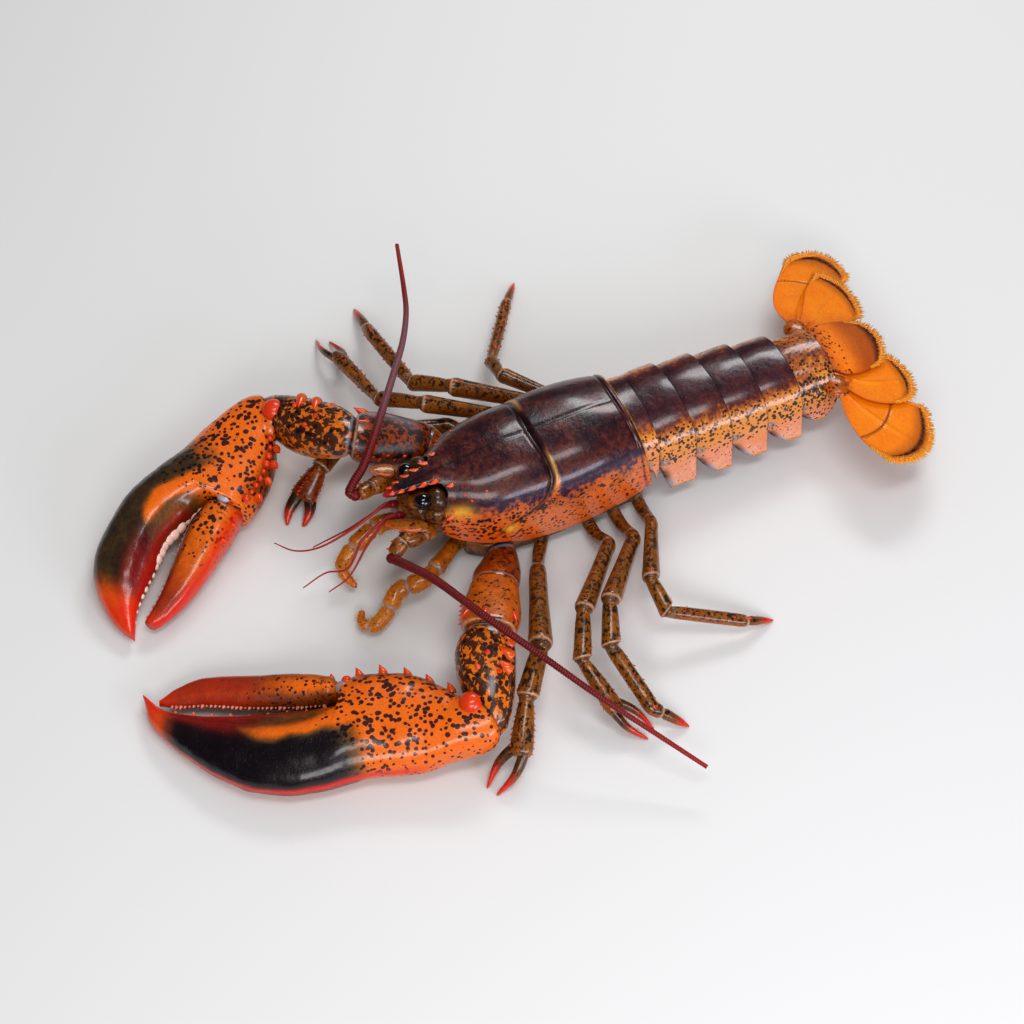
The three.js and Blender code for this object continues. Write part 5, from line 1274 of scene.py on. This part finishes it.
def palmTeeth(claw, cutter):
    # the cutter's small sharp teeth, or the crusher's irregular molars
    _, along, across = clawAxes(claw)
    count = claw["teeth"]
    u = np.linspace(claw["teethFrom"], claw["teethTo"], count)
    v = profile(claw["fingerInner"], u)
    z = profile(claw["centre"], u) - 0.2
    if cutter:
        size = np.where(np.arange(count) % 4 == 0, 1.4, 0.8) * rng.uniform(0.85, 1.15, count)
        return [spikes(clawPoint(claw, u, v - 0.5, z), across + along * 0.2, 2.3 * size, 1.1 * size, sides=8,
                       levels=6, tone=0.75, tint=(0.9, 0.0), pale=(0, 0.5))]
    patches = []
    swellings = 1.3 + 2.1 * np.sin(np.pi * np.clip((np.arange(count) + 1) / 11, 0, 1)) ** 0.8
    jitter = rng.uniform(-1, 1, (count, 3))
    for i in range(count):
        size = max(swellings[i] * (1 + 0.28 * jitter[i, 0]), 0.9)
        centre = clawPoint(claw, u[i] + 0.6 * jitter[i, 1], v[i] - size * 0.5, z[i] + 0.6 * jitter[i, 2])
        patches.append(ball(centre, size, (1.1, 1, 0.95), 14, 20, tone=0.9, pale=0.75, tint=0.3))
    return patches


def palmHinge(claw, cutter):
    # glossy knob and pale membrane at the hinge of the movable finger
    _, along, across = clawAxes(claw)
    split = claw["split"]
    height = profile(claw["centre"], split) + profile(claw["depth"], split) * 0.6
    knob = clawPoint(claw, split - 2.6, claw["knobAt"], height)
    membrane = knob + across * 4.4 + along * 1.6 - [0, 0, 0.8]
    return [
        ball(knob, 3.0, (1, 1, 0.75), 18, 24, tone=0.3, dark=0.6, tint=0.2),
        ball(membrane, 2.6, (1.3, 1.3, 0.7), 16, 22, tone=0.4, cool=0.3 if cutter else 0.75),
        ball(knob + across * 8.6 + along * 0.4 - [0, 0, 1.6], 2.3, (1, 1, 0.8), 16, 22, tone=0.7, tint=0.8),
    ]


def makeDactyl(claw):
    # movable finger: rings from the hinge to the tip, with its own spines and teeth
    cutter = claw["side"] == "left"
    _, along, across = clawAxes(claw)
    first, last = claw["dactylInner"][0][0], claw["dactylInner"][-1][0]
    t = np.linspace(0, 1, 130)
    u = first + (last - first) * (1 - (1 - t) ** 1.25)
    thinning = 1 + (0.72 - 1) * t
    depth = profile(claw["depth"], u) * claw["dactylDepth"] * thinning - 0.4
    depth = depth * np.sqrt(np.clip((u - first + 1.2) / 5, 0.3, 1))
    centre = profile(claw["centre"], u) + 0.1
    low, high = profile(claw["dactylInner"], u), profile(claw["dactylOuter"], u)
    rings, c, s, v = clawRings(claw, u, low, (low + high) / 2, high, centre, depth, 80)
    relief = wobble(rings, 18, 50 + cutter) * 0.3 + wobble(rings, 6, 54 + cutter) * 0.1
    rings = rings + unit(rings - rings.mean(1, keepdims=True)) * relief[..., None]
    t = t[:, None]
    w = np.clip((v - low[:, None]) / (high - low)[:, None], 0, 1)
    under = smooth(-0.05, -0.6, s)
    base = 1 - smooth(0.12, 0.5, t)
    gape = smooth(0.3, 0.1, w) * (1 - under)
    rim = bump(s, 0.16) * (c > 0) * smooth(0.1, 0.3, t)
    # the cutter's finger is darker on its inner half, the crusher's towards its outer edge
    upper = 1 - 0.6 * under
    if cutter:
        tone = 0.4 + 0.24 * base * bump(w - 0.45, 0.3) + 0.25 * under
        dark = (0.5 * (1 - base) * smooth(0.15, 0.4, w) + 0.55 * gape) * (1 - smooth(0.75, 1, t)) * upper
        tint = 0.42 * smooth(0.15, 0.6, t) + 0.4 * smooth(0.8, 1, t) + 0.6 * rim
    else:
        tone = 0.6 - 0.2 * smooth(0.4, 0.8, t) + 0.16 * under - 0.15 * gape
        dark = (0.5 * gape + 0.45 * smooth(0.45, 0.75, t) * (1 - rim)) * (1 - smooth(0.8, 1, t)) * upper
        tint = 0.3 * smooth(0.3, 0.7, t) + 0.5 * smooth(0.8, 1, t)
        tint = tint + 0.75 * smooth(0.75, 0.95, w) * (1 - 0.5 * under)
    patches = [loft(rings, tone=tone, fleck=(0.7 if cutter else 0.9) * (1 - smooth(0.3, 0.6, t)),
                    mottle=0.7 * base, dark=np.clip(dark, 0, 1), tint=np.clip(tint, 0, 1))]
    for spineU, spineV in claw["dactylSpines"]:
        z = profile(claw["centre"], spineU) + profile(claw["depth"], spineU) * 0.35
        patches.append(spikes(clawPoint(claw, spineU, spineV - 1, z), across + np.array([0, 0, 0.4]), 2.8,
                              1.7, sides=12, levels=8, curve=0.2, toward=along, tone=0.7, tint=(0.5, 0.95)))
    toothU = np.linspace(claw["teethFrom"] + 1, claw["teethTo"] - 4, claw["dactylTeeth"])
    z = profile(claw["centre"], toothU) + 0.4
    roots = clawPoint(claw, toothU, profile(claw["dactylInner"], toothU) + 0.5, z)
    size = rng.uniform(0.8, 1.4, len(toothU)) * claw["toothSize"]
    patches.append(spikes(roots, -across + along * 0.2, 1.3 * size, 0.8 * size, sides=8, levels=5, tone=0.75,
                          tint=(0.9, 0.0), pale=(0, 0.5)))
    makePiece(claw["side"] + "ClawFinger", patches, clawMaterial, ["claw_finger_" + claw["side"]])


# Arms that carry the claws

# each arm's "ridge" value sets a painted highlight: a pale bluish streak along the upper sides of its upper
# piece
arms = [
    {"side": "left", "sign": 1, "root": (22, -70, 6), "bend": (34, -77, 11), "hip": (49, -86, 20),
     "elbow": (75.4, -101.6, 30), "wrist": (106, -120, 22), "condyle": (103.4, -123.4, 27.6, 5.4),
     "upperTone": 0.54, "upperMottle": 0.5, "spinulesAt": 0.02, "ridge": 0.0},
    {"side": "right", "sign": -1, "root": (-22, -70, 6), "bend": (-31, -74.5, 9), "hip": (-40, -81, 18),
     "elbow": (-47, -112.5, 33.5), "wrist": (-80, -141, 24), "condyle": (-78.6, -139.2, 31.6, 5.6),
     "upperTone": 0.42, "upperMottle": 0.9, "spinulesAt": 0.48, "ridge": 0.3},
]
armShape = {
    "root": [[0, 5.4, 4.4], [0.3, 8.4, 5.8], [0.65, 10.6, 7.2], [0.94, 10.6, 7.4], [1, 9.4, 6.8]],
    "upper": [[0, 9.6, 7], [0.06, 10.8, 8], [0.25, 11.8, 8.6], [0.6, 13.3, 9.4], [0.84, 13, 9.2],
              [0.95, 11.8, 8.6], [1, 9.2, 7.2]],
    "lower": [[0, 8.8, 7], [0.06, 10.4, 8.6], [0.2, 12.7, 10.2], [0.55, 13.8, 11.4], [0.84, 12.2, 10.4],
              [1, 9.2, 8.2]],
    # spines: share of the length, distance aside and above the middle; the upper ones also lean
    "upperSpines": [[-10.2, 6, -0.5], [10.2, 6, 0.5], [2, 8.2, 0.1]], "upperSpinesAt": 0.78,
    "lowerSpines": [[0.2, 9.6, 5.4], [0.38, 9.8, 7.6], [0.56, 9.8, 8], [0.7, 9.4, 4]],
}


def makeArms():
    # three tubes for each arm, cut at the planes that halve its hip, elbow and wrist
    for number, arm in enumerate(arms):
        sign = arm["sign"]
        root, bend, hip, elbow, wrist = (
            np.array(arm[key], float) for key in ("root", "bend", "hip", "elbow", "wrist"))
        claw = claws[number]
        _, clawAlong, _ = clawAxes(claw)
        hipPlane = jointPlane(bend, hip, elbow)
        elbowPlane = jointPlane(hip, elbow, wrist)
        base, *_ = limbPart(
            [root, bend, between(bend, hip, 0.5), hip], armShape["root"], 110, 44,
            startPlane=np.array([sign, 0.0, 0]), endPlane=hipPlane, tone=underTone(0.45, 0.3), fleck=0.6,
            mottle=0.7, dark=marksAlong((0.6, 0.985, 0.015)),
            cool=marksAlong((0.5, 0.1, 0.05), (0.15, 0.95, 0.012)))
        makePiece(arm["side"] + "ArmRoot", [base], armMaterial, ["arm_root_" + arm["side"]])
        ahead = unit(elbow - hip)
        side = unit(np.cross(ahead, [0, 0, 1.0]))
        ridge, mottle = arm["ridge"], arm["upperMottle"]
        upper, upperRings, _ = limbPart(
            [hip, between(hip, elbow, 0.5), elbow], armShape["upper"], 120, 56, square=2.5,
            startPlane=hipPlane, endPlane=elbowPlane, tone=underTone(arm["upperTone"], 0.25), fleck=0.8,
            mottle=lambda t, up: mottle * smooth(-0.5, 0.3, up),
            dark=marksAlong((0.6, 0.0, 0.02), (0.6, 0.99, 0.012)),
            # painted highlight: a pale bluish streak along the upper sides, as strong as ridge
            cool=lambda t, up: ridge * bump(up - 0.75, 0.12) * smooth(0.1, 0.3, t),
            pale=marksAlong((0.3, 0.965, 0.012)))
        middle = between(hip, elbow, armShape["upperSpinesAt"])
        spots = np.array([middle + side * aside + [0, 0, rise] for aside, rise, _ in armShape["upperSpines"]])
        leans = np.array([ahead + side * lean + [0, 0, 0.3] for *_, lean in armShape["upperSpines"]])
        makePiece(arm["side"] + "ArmUpper", [
            upper, spinules(upperRings, 7, 0.3, 0.9, arm["spinulesAt"], 2.0, 70 + number, ahead),
            spikes(spots, leans, 4.8, 2.1, sides=12, levels=9, curve=0.2, toward=ahead, tone=0.6,
                   tint=(0.5, 1)),
            ball(elbow - ahead * 1.2, 8.0, (1, 1, 0.85), 22, 30, tone=0.35, cool=0.5, dark=0.2),
        ], armMaterial, ["arm_upper_" + arm["side"]])
        lower, lowerRings, _ = limbPart(
            [elbow, between(elbow, wrist, 0.5), wrist], armShape["lower"], 130, 60, square=2.3,
            startPlane=elbowPlane, endPlane=wristPlaneOf(claw), tone=underTone(0.66, 0.2),
            fleck=lambda t, up: 1 - 0.5 * smooth(0.0, -0.8, up),
            mottle=lambda t, up: 1 - 0.7 * smooth(0.2, -0.6, up),
            dark=marksAlong((0.6, 0, 0.025), (0.6, 1, 0.02)), cool=marksAlong((0.3, 0.035, 0.015)))
        shares, asides, rises = np.array(armShape["lowerSpines"]).T[:, :, None]
        at = between(elbow, wrist, shares) - side * sign * asides + rises * [0, 0, 1.0]
        away = clawAlong * 0.6 + np.array([-sign, 0, 0]) * 0.5 + [0, 0, 0.5]
        top, outward = ringPoints(lowerRings, [0.42, 0.66, 0.55], [0.25, 0.22, 0.33])
        makePiece(arm["side"] + "ArmLower", [
            lower,
            spikes(at, away, 6.4, 2.7, sides=12, levels=9, curve=0.2, toward=clawAlong, tone=0.7,
                   tint=(0.5, 1)),
            spikes(top - outward * 0.5, outward, 2.6, 1.5, sides=10, levels=7, tone=0.7, tint=(0.6, 1)),
            ball(arm["condyle"][:3], arm["condyle"][3], (1, 1, 0.9), 26, 34, tone=0.6, tint=0.8, fleck=0.3),
            ball(wrist - [0, 0, 1], 7.4, (1, 1, 0.85), 22, 30, tone=0.4, cool=0.55, dark=0.2),
        ], armMaterial, ["arm_lower_" + arm["side"]])


# Head, eyes, antennae and mouth legs

chest = {
    "rows": 180, "columns": 61, "front": -84, "length": 88, "low": 0.7, "high": 10.2,
    "half": [[-84, 14.6], [-74, 21.4], [4, 21.4]],
    # the soft body above the plates: y, half width and height
    "fill": [[-97, 11, 22], [-90, 16, 26], [-70, 24, 30], [-45, 26, 32], [-10, 24, 30], [2, 21, 26]],
    "fillMiddle": 27.0,
}


def makeChest():
    # flat plates between the leg roots under the body, z = low + ribs cos(y), and a tube above them
    v = np.linspace(0, 1, chest["rows"])[:, None]
    q = np.linspace(-1, 1, chest["columns"])[None, :]
    y = chest["front"] + chest["length"] * v
    half = profile(chest["half"], y)
    ribs = 0.3 * np.cos((y + 6) / 14 * 2 * np.pi) * smooth(0.15, 0.5, np.abs(q))
    lower, upper = (np.stack(np.broadcast_arrays(q * half, y, z), -1)
                    for z in (chest["low"] + ribs, chest["high"]))
    plates = slab(lower, upper, tone=0.5, fleck=0.5, mottle=0.5, cool=0.06 * smooth(0.7, 1, np.abs(q)))
    makePiece("chestUnderside", [plates], mouthMaterial, ["thorax"])
    first, last = chest["fill"][0][0], chest["fill"][-1][0]
    path = np.array([[0, y, chest["fillMiddle"]] for y in np.linspace(first, last, 90)])
    wide = profile([[y, w] for y, w, _ in chest["fill"]], path[:, 1])
    tall = profile([[y, h / 2] for y, _, h in chest["fill"]], path[:, 1])
    body = loft(tubeRings(path, wide, tall, 48, square=2.6), tone=0.45, mottle=0.7, fleck=0.8)
    makePiece("gillChamber", [body], mouthMaterial, [])


head = {
    "path": [[0, -94, 31], [0, -101, 30.5], [0, -106, 30.5], [0, -110, 31.3]],
    "wide": [[0, 12.5], [0.4, 11.4], [0.75, 9.6], [1, 5.6]],
    "tall": [[0, 11], [0.4, 10.5], [0.75, 9.5], [1, 4.8]],
    # lobes on the left: gland opening, jaw, brow, eye socket and cheek, as place, radius and stretch
    "gland": [(5.2, -109.4, 27.6), 3.4, (1.2, 0.8, 0.9)],
    "jaw": [(4.2, -106.5, 22.6), 4.4, (1.0, 1.2, 0.7)],
    "brow": [(4.8, -103.8, 41.2), 3.2, (1.3, 1.2, 0.8)],
    "socket": [(9.4, -95.8, 43.4), 6.2, (1.0, 0.8, 0.95), 22, 30],
    "cheek": [(11.6, -97.4, 36.4), 5.6, (0.9, 0.9, 1.0), 22, 30],
}
headMarks = {
    "gland": {"tone": 0.5, "cool": 0.3}, "jaw": {"tone": 0.7, "cool": 0.2},
    "brow": {"tone": 0.4, "fleck": 0.6}, "socket": {"tone": 0.12, "mottle": 0.6, "dark": 0.25},
    "cheek": {"tone": 0.3, "fleck": 0.9, "mottle": 0.7},
}


def makeHead():
    # a squarish tube that narrows to the front, with lobes on both sides
    path = smoothCurve(head["path"], 60)
    t = np.linspace(0, 1, 60)
    rings = tubeRings(path, profile(head["wide"], t), profile(head["tall"], t), 60, square=2.6)
    rings = rings + unit(rings - path[:, None]) * (wobble(rings, 7, 5) * 0.7)[..., None]
    lowness = smooth(0.3, -0.8, (rings[..., 2] - 31) / 10)
    patches = [loft(rings, tone=0.4 + 0.3 * lowness, fleck=0.7, mottle=0.5, dark=0.2)]
    for side in (-1, 1):
        for lobe, given in headMarks.items():
            spot, *size = head[lobe]
            patches.append(ball(np.array(spot) * [side, 1, 1], *size, **given))
    makePiece("headBlock", patches, mouthMaterial, ["head"])


eyes = {
    "centre": (9.2, -102.4, 45.6), "radius": 4.05, "stretch": (1, 1, 0.96),
    "stalk": [(3.2, -101, 43.4), (5.6, -101.8, 44.6), (8.2, -102.3, 45.4)],
    "stalkShape": [[0, 2.4, 2.4], [0.5, 2.7, 2.7], [0.85, 3.7, 3.6], [1, 4.14, 4.0]],
    "look": {"roughness": 0.22, "coat": 1.0, "coatRoughness": 0.05, "bumpDepth": 0.00002},
}


def makeEyes():
    # black ball with fine facets on a short stalk
    cornea = NodeTree("eyeCornea")
    facets = cornea.step(cornea.cells(3600, 0.0), 0.1, 0.5)
    colour = cornea.ramp(cornea.noise(500, 2), [(0.3, "050405"), (0.8, "120c0c")])
    eyeMaterial = cornea.finish(colour, facets, eyes["look"])
    for name, side in (("left", 1), ("right", -1)):
        mirror = np.array([side, 1, 1])
        eyeBall = ball(eyes["centre"] * mirror, eyes["radius"], eyes["stretch"], 40, 56)
        makePiece(name + "EyeBall", [eyeBall], eyeMaterial, ["eye_" + name])
        stalk, *_ = limbPart(eyes["stalk"] * mirror, eyes["stalkShape"], 40, 30, tone=0.35, fleck=0.4,
                             dark=0.2)
        makePiece(name + "EyeStalk", [stalk], mouthMaterial, [])


antennae = [
    {"side": "left", "inward": 1, "lit": 0.0,
     "stalk": [(12.2, -103.6, 30), (15.2, -105.6, 31.4), (17.2, -111, 33.2), (17.8, -116.4, 34),
               (21, -122.6, 31.6)],
     "scale": [(15.8, -106, 33), (16.6, -104.6, 36.6), (13.8, -111, 38), (8.2, -121, 38.6)],
     "whip": [(21.8, -124, 31), (31.7, -119.8, 35.2), (45, -114.1, 39.4), (74.7, -103.5, 43.4),
              (100.9, -89.4, 39.4), (126.6, -73.4, 31), (148.1, -57.7, 22), (168.6, -43, 14)]},
    {"side": "right", "inward": -1, "lit": 0.11,
     "stalk": [(-12.2, -103.6, 30), (-15, -105.8, 31.6), (-15.4, -112, 34.6), (-12.8, -119, 38.4),
               (-9.8, -125.6, 41)],
     "scale": [(-15.8, -106, 33), (-17, -104.6, 37), (-19, -109.5, 39), (-20.5, -115.5, 40.4)],
     "whip": [(-9.4, -127.4, 42), (-10.6, -129.4, 44), (-13.4, -126, 46.4), (-17.8, -119.6, 48.4),
              (-26.2, -111.7, 50.4), (-42.7, -98.3, 51.8), (-60.5, -84.9, 50.4), (-79.1, -72, 47.4),
              (-97.2, -62.4, 44), (-112.2, -56.8, 41), (-144.4, -46.2, 36)]},
]
antennaShape = {
    "stalk": [[0, 4.2, 4], [0.16, 4.7, 4.4], [0.3, 4.4, 4.1], [0.36, 3.7, 3.6], [0.42, 4.3, 4.1],
              [0.62, 4, 3.8], [0.68, 3.3, 3.2], [0.74, 3.8, 3.6], [0.94, 3.4, 3.2], [1, 2.7, 2.6]],
    "scaleWide": [[0, 1.7], [0.17, 2.7], [0.34, 3.2], [0.5, 3.3], [0.67, 2.8], [0.84, 1.7], [1, 0.3]],
    "scaleTall": [[0, 1.4], [0.3, 1.2], [0.6, 0.8], [1, 0.35]],
    "scaleSides": 28, "scaleHairs": 40,
    "whipRoot": 2.2, "whipEnd": 1.0, "whipPoints": 1100, "ringStep": 1.25, "ringDepth": 0.14,
}
antennules = [
    {"side": "left", "stalk": [(3.6, -110.4, 33), (4.2, -115, 35.6), (4.6, -119.5, 37)],
     "branches": [[(4.6, -119, 36.9), (8.2, -132, 33), (15.8, -143, 27), (12.3, -152, 25),
                   (12.7, -163.6, 21)],
                  [(4.8, -119, 36.2), (11, -131, 31.6), (18.6, -143.6, 24.8), (19.1, -153.8, 20)]]},
    {"side": "right", "stalk": [(-3.6, -110.4, 33), (-2.6, -115, 36), (-1, -119.5, 38)],
     "branches": [[(-1, -119, 38), (2, -134.9, 34.4), (1, -151.2, 29.2), (-3.4, -160.5, 27.4),
                   (-11.6, -167, 27)],
                  [(-1.4, -119, 37), (-0.4, -134, 32.6), (-1.6, -146, 28.4), (-2.4, -152, 26)]]},
]
antennuleShape = {
    "stalk": [[0, 1.7, 1.7], [0.3, 1.8, 1.8], [0.36, 1.3, 1.3], [0.42, 1.5, 1.5], [0.7, 1.2, 1.2],
              [1, 0.85, 0.85]],
    "root": 0.75, "taper": 0.47, "points": 240, "rings": 60,
}


def makeAntennae():
    # stalk of three joints with a flat pointed scale, then a tapering whip ringed by cos(2 pi t n)
    shape = antennaShape
    for number, antenna in enumerate(antennae):
        seam = unit(np.subtract(antenna["stalk"][-1], antenna["stalk"][-2]))
        stalk, stalkRings, _ = limbPart(
            antenna["stalk"], shape["stalk"], 110, 36, startPlane=np.array([antenna["inward"], 0.0, 0]),
            endPlane=seam, tone=underTone(0.4, 0.25), fleck=0.7, mottle=0.6,
            dark=marksAlong((0.6, 0.345, 0.008), (0.6, 0.665, 0.008)),
            cool=marksAlong((0.4, 0.365, 0.012), (0.4, 0.685, 0.012)))
        path = smoothCurve(antenna["scale"], 60)
        t = np.linspace(0, 1, 60)
        sides, hairs = shape["scaleSides"], shape["scaleHairs"]
        rings = tubeRings(path, profile(shape["scaleWide"], t), profile(shape["scaleTall"], t), sides)
        rim = np.abs(np.cos((np.arange(sides) + 0.5) / sides * 2 * np.pi))[None, :] ** 6
        redder = 0.7 * rim * smooth(0.1, 0.5, t)[:, None] + 0.5 * smooth(0.8, 1, t)[:, None]
        scale = loft(rings, tone=0.5, fleck=0.6, mottle=0.5, tint=np.clip(redder, 0, 1))
        base, outward = ringPoints(rings, np.tile(np.linspace(0.35, 0.95, hairs), 2),
                                   np.repeat([0.0, 0.5], hairs))
        fringe = spikes(base - outward * 0.3, outward + unit(path[-1] - path[20]), 1.6, 0.12, sides=3,
                        levels=2, tone=0.9, tint=0.3)
        row = spinules(stalkRings, 5, 0.3, 0.95, 0.05, 1.6, 80 + number, seam)
        makePiece(antenna["side"] + "AntennaBase", [stalk, scale, fringe, row], mouthMaterial,
                  ["antenna_base_" + antenna["side"]])
        makeWhip(antenna)
    for antennule in antennules:
        makeAntennule(antennule)


def makeWhip(antenna):
    # radius = taper (1 - ringDepth wave^3), with one wave of the cosine for each ring
    shape = antennaShape
    t = np.linspace(0, 1, shape["whipPoints"])
    path = evenly(smoothCurve(antenna["whip"], len(t)), len(t))
    length = np.linalg.norm(np.diff(path, axis=0), axis=1).sum()
    wave = 0.5 + 0.5 * np.cos(2 * np.pi * (t * length / shape["ringStep"]))
    taper = shape["whipRoot"] + (shape["whipEnd"] - shape["whipRoot"]) * t
    radius = taper * (1.0 - shape["ringDepth"] * wave ** 3)
    lit = antenna["lit"] * smooth(0.15, 0.4, t) * (1 - smooth(0.6, 0.8, t))
    given = {"tone": 0.4 + 0.25 * smooth(0.6, 1, t), "dark": 0.85 * wave ** 4, "cool": lit,
             "tint": 0.35 * smooth(0.6, 1.0, t)}
    whip = loft(tubeRings(path, radius, radius, 16), **{key: value[:, None] for key, value in given.items()})
    root = ball(path[0], 2.4, rows=16, columns=22, tone=0.4, dark=0.3)
    makePiece(antenna["side"] + "AntennaWhip", [whip, root], whipMaterial, ["antenna_" + antenna["side"]])


def makeAntennule(antennule):
    # short stalk with two ringed branches
    shape = antennuleShape
    stalk, *_ = limbPart(antennule["stalk"], shape["stalk"], 60, 20, tone=0.4, tint=0.15,
                         dark=marksAlong((0.5, 0.36, 0.03)))
    patches = [stalk]
    t = np.linspace(0, 1, shape["points"])
    wave = 0.5 + 0.5 * np.cos(2 * np.pi * t * shape["rings"])
    radius = (shape["root"] - shape["taper"] * t) * (1 - 0.08 * wave ** 2)
    for branch in antennule["branches"]:
        rings = tubeRings(smoothCurve(branch, len(t)), radius, radius, 10)
        patches.append(loft(rings, tone=0.5, tint=0.35 + 0.2 * t[:, None] ** 0.5,
                            dark=(0.5 * wave ** 3)[:, None]))
    makePiece(antennule["side"] + "Antennule", patches, whipMaterial, ["antennule_" + antennule["side"]])


maxillipeds = [
    {"side": "left",
     "path": [(10, -84.4, 6.4), (13.4, -90.5, 9), (20, -98, 12.6), (28.5, -111.6, 15), (27.4, -123.8, 12.6),
              (33.3, -132.3, 8.6), (35.4, -140.4, 5.6), (30.5, -143.6, 4.6), (24.6, -141, 4.4)]},
    {"side": "right",
     "path": [(-10, -84.4, 6.4), (-9.4, -95, 10), (-7.4, -107, 14.6), (-5.8, -119, 18.6), (1, -138, 14.6),
              (4, -141.4, 8.8), (12.6, -138.4, 5)]},
]
mouthLeg = {
    "joints": [0.34, 0.53, 0.7, 0.86], "points": 220, "hairs": 620,
    "radius": [[0, 3.7], [0.35, 4], [0.55, 4.1], [0.72, 3.6], [0.86, 2.9], [1, 1.2]],
}


def makeMouthLegs():
    # tube whose radius falls by a narrow bell curve at each joint and rises a little before it
    joints = mouthLeg["joints"]
    t = np.linspace(0, 1, mouthLeg["points"])
    pinch = sum(bump(t - j, 0.012) for j in joints)
    swell = sum(bump(t - j + 0.035, 0.03) for j in joints)
    radius = profile(mouthLeg["radius"], t)
    radius = radius * (1 - 0.3 * pinch + 0.1 * swell) * (1 - smooth(0.985, 1, t) * 0.7)
    given = {"tone": 0.55 + 0.15 * t, "dark": 0.3 * pinch, "cool": np.clip(0.3 * pinch, 0, 1),
             "tint": 0.2 * smooth(0.8, 1, t)}
    for number, palp in enumerate(maxillipeds):
        rings = tubeRings(smoothCurve(palp["path"], len(t)), radius, radius * 0.95, 28,
                          startPlane=np.array([0, -1.0, 0]))
        leg = loft(rings, fleck=0.6, mottle=0.4, **{key: value[:, None] for key, value in given.items()})
        hairs = bristles(rings, mouthLeg["hairs"], 0.36, 0.99, 2.8, 90 + number, [0, -0.5, -0.2],
                         pale=(0.6, 0.9))
        makePiece(palp["side"] + "MouthLeg", [leg, hairs], mouthMaterial, ["maxilliped_" + palp["side"]])


makeCarapace()
makeTail()
makeTailUnderside()
makeFan()
makeFanRoots()
makeLegs()
makeClaws()
makeArms()
makeChest()
makeHead()
makeEyes()
makeAntennae()
makeMouthLegs()
print("pieces ready")


# Floor, light and camera

floorSettings = {"size": 6.0, "colour": "cdcdcd", "roughness": 0.9}


def plainMaterial(name, code, roughness):
    # one even colour
    material = bpy.data.materials.new(name)
    material.use_nodes = True
    shader = material.node_tree.nodes["Principled BSDF"]
    shader.inputs["Base Color"].default_value = linear(code)
    shader.inputs["Roughness"].default_value = roughness
    return material


def makeFloor():
    # one square at z = 0
    size = floorSettings["size"]
    corners = [(-size, -size, 0), (size, -size, 0), (size, size, 0), (-size, size, 0)]
    mesh = bpy.data.meshes.new("paleFloor")
    mesh.from_pydata(corners, [], [(0, 1, 2, 3)])
    mesh.materials.append(plainMaterial("paleFloor", floorSettings["colour"], floorSettings["roughness"]))
    floor = bpy.data.objects.new("paleFloor", mesh)
    bpy.context.scene.collection.objects.link(floor)


def softbox(name, spot, target, size, power, colour):
    # rectangular lamp turned from its spot to the target
    light = bpy.data.lights.new(name, "AREA")
    light.shape = "RECTANGLE"
    light.size, light.size_y = size
    light.energy = power
    light.color = colour
    lamp = bpy.data.objects.new(name, light)
    lamp.location = spot
    lamp.rotation_euler = (Vector(target) - Vector(spot)).to_track_quat("-Z", "Y").to_euler()
    bpy.context.scene.collection.objects.link(lamp)


studio = {
    "skyLight": 0.44, "skyReflection": 0.05, "target": (0, 0, 0.03),
    "overhead": {"spot": (0.3, 0.0, 1.1), "size": (0.6, 0.22), "power": 3.4, "colour": (1, 1, 1)},
    "rear": {"spot": (-0.55, 0.5, 0.75), "size": (0.45, 0.2), "power": 3.2, "colour": (1, 1, 1)},
    "front": {"spot": (0.8, -0.35, 0.62), "size": (0.5, 0.3), "power": 3.4, "colour": (1, 0.97, 0.94)},
    "flank": {"spot": (0.95, 0.24, 0.36), "size": (0.55, 0.22), "power": 3.6, "colour": (0.86, 0.86, 1)},
}


def makeStudio():
    # an even pale sky lights the scene; what the wet shell mirrors is darker, apart from the soft boxes
    world = bpy.data.worlds.new("studio")
    world.use_nodes = True
    tree = world.node_tree
    background = tree.nodes["Background"]
    background.inputs[0].default_value = (1, 1, 1, 1)
    rays = tree.nodes.new("ShaderNodeLightPath")
    strength = tree.nodes.new("ShaderNodeMapRange")
    strength.inputs["To Min"].default_value = studio["skyLight"]
    strength.inputs["To Max"].default_value = studio["skyReflection"]
    tree.links.new(rays.outputs["Is Glossy Ray"], strength.inputs["Value"])
    tree.links.new(strength.outputs["Result"], background.inputs[1])
    bpy.context.scene.world = world
    view = bpy.context.scene.view_settings
    view.view_transform, view.look = "Standard", "Medium High Contrast"
    for name in ("overhead", "rear", "front", "flank"):
        box = studio[name]
        softbox(name + "Box", box["spot"], studio["target"], box["size"], box["power"], box["colour"])


# camera in the lobster's own frame, from the photograph's vanishing lines and outline
camera = {
    "spot": (583.6, -337.1, 889.9), "target": (2, -54.7, 0), "focalPixels": 2350, "framePixels": 1024,
    "sensor": 36, "clipEnd": 20,
}


def makeCamera():
    # lens length = focal length in pixels / picture width in pixels x sensor width
    data = bpy.data.cameras.new("photoCamera")
    data.sensor_width = camera["sensor"]
    data.lens = camera["focalPixels"] / camera["framePixels"] * camera["sensor"]
    data.clip_end = camera["clipEnd"]
    eye = bpy.data.objects.new("photoCamera", data)
    eye.location = place(camera["spot"])
    gaze = Vector(place(camera["target"])) - Vector(eye.location)
    eye.rotation_euler = gaze.to_track_quat("-Z", "Y").to_euler()
    bpy.context.scene.collection.objects.link(eye)
    bpy.context.scene.camera = eye


makeFloor()
makeStudio()
makeCamera()
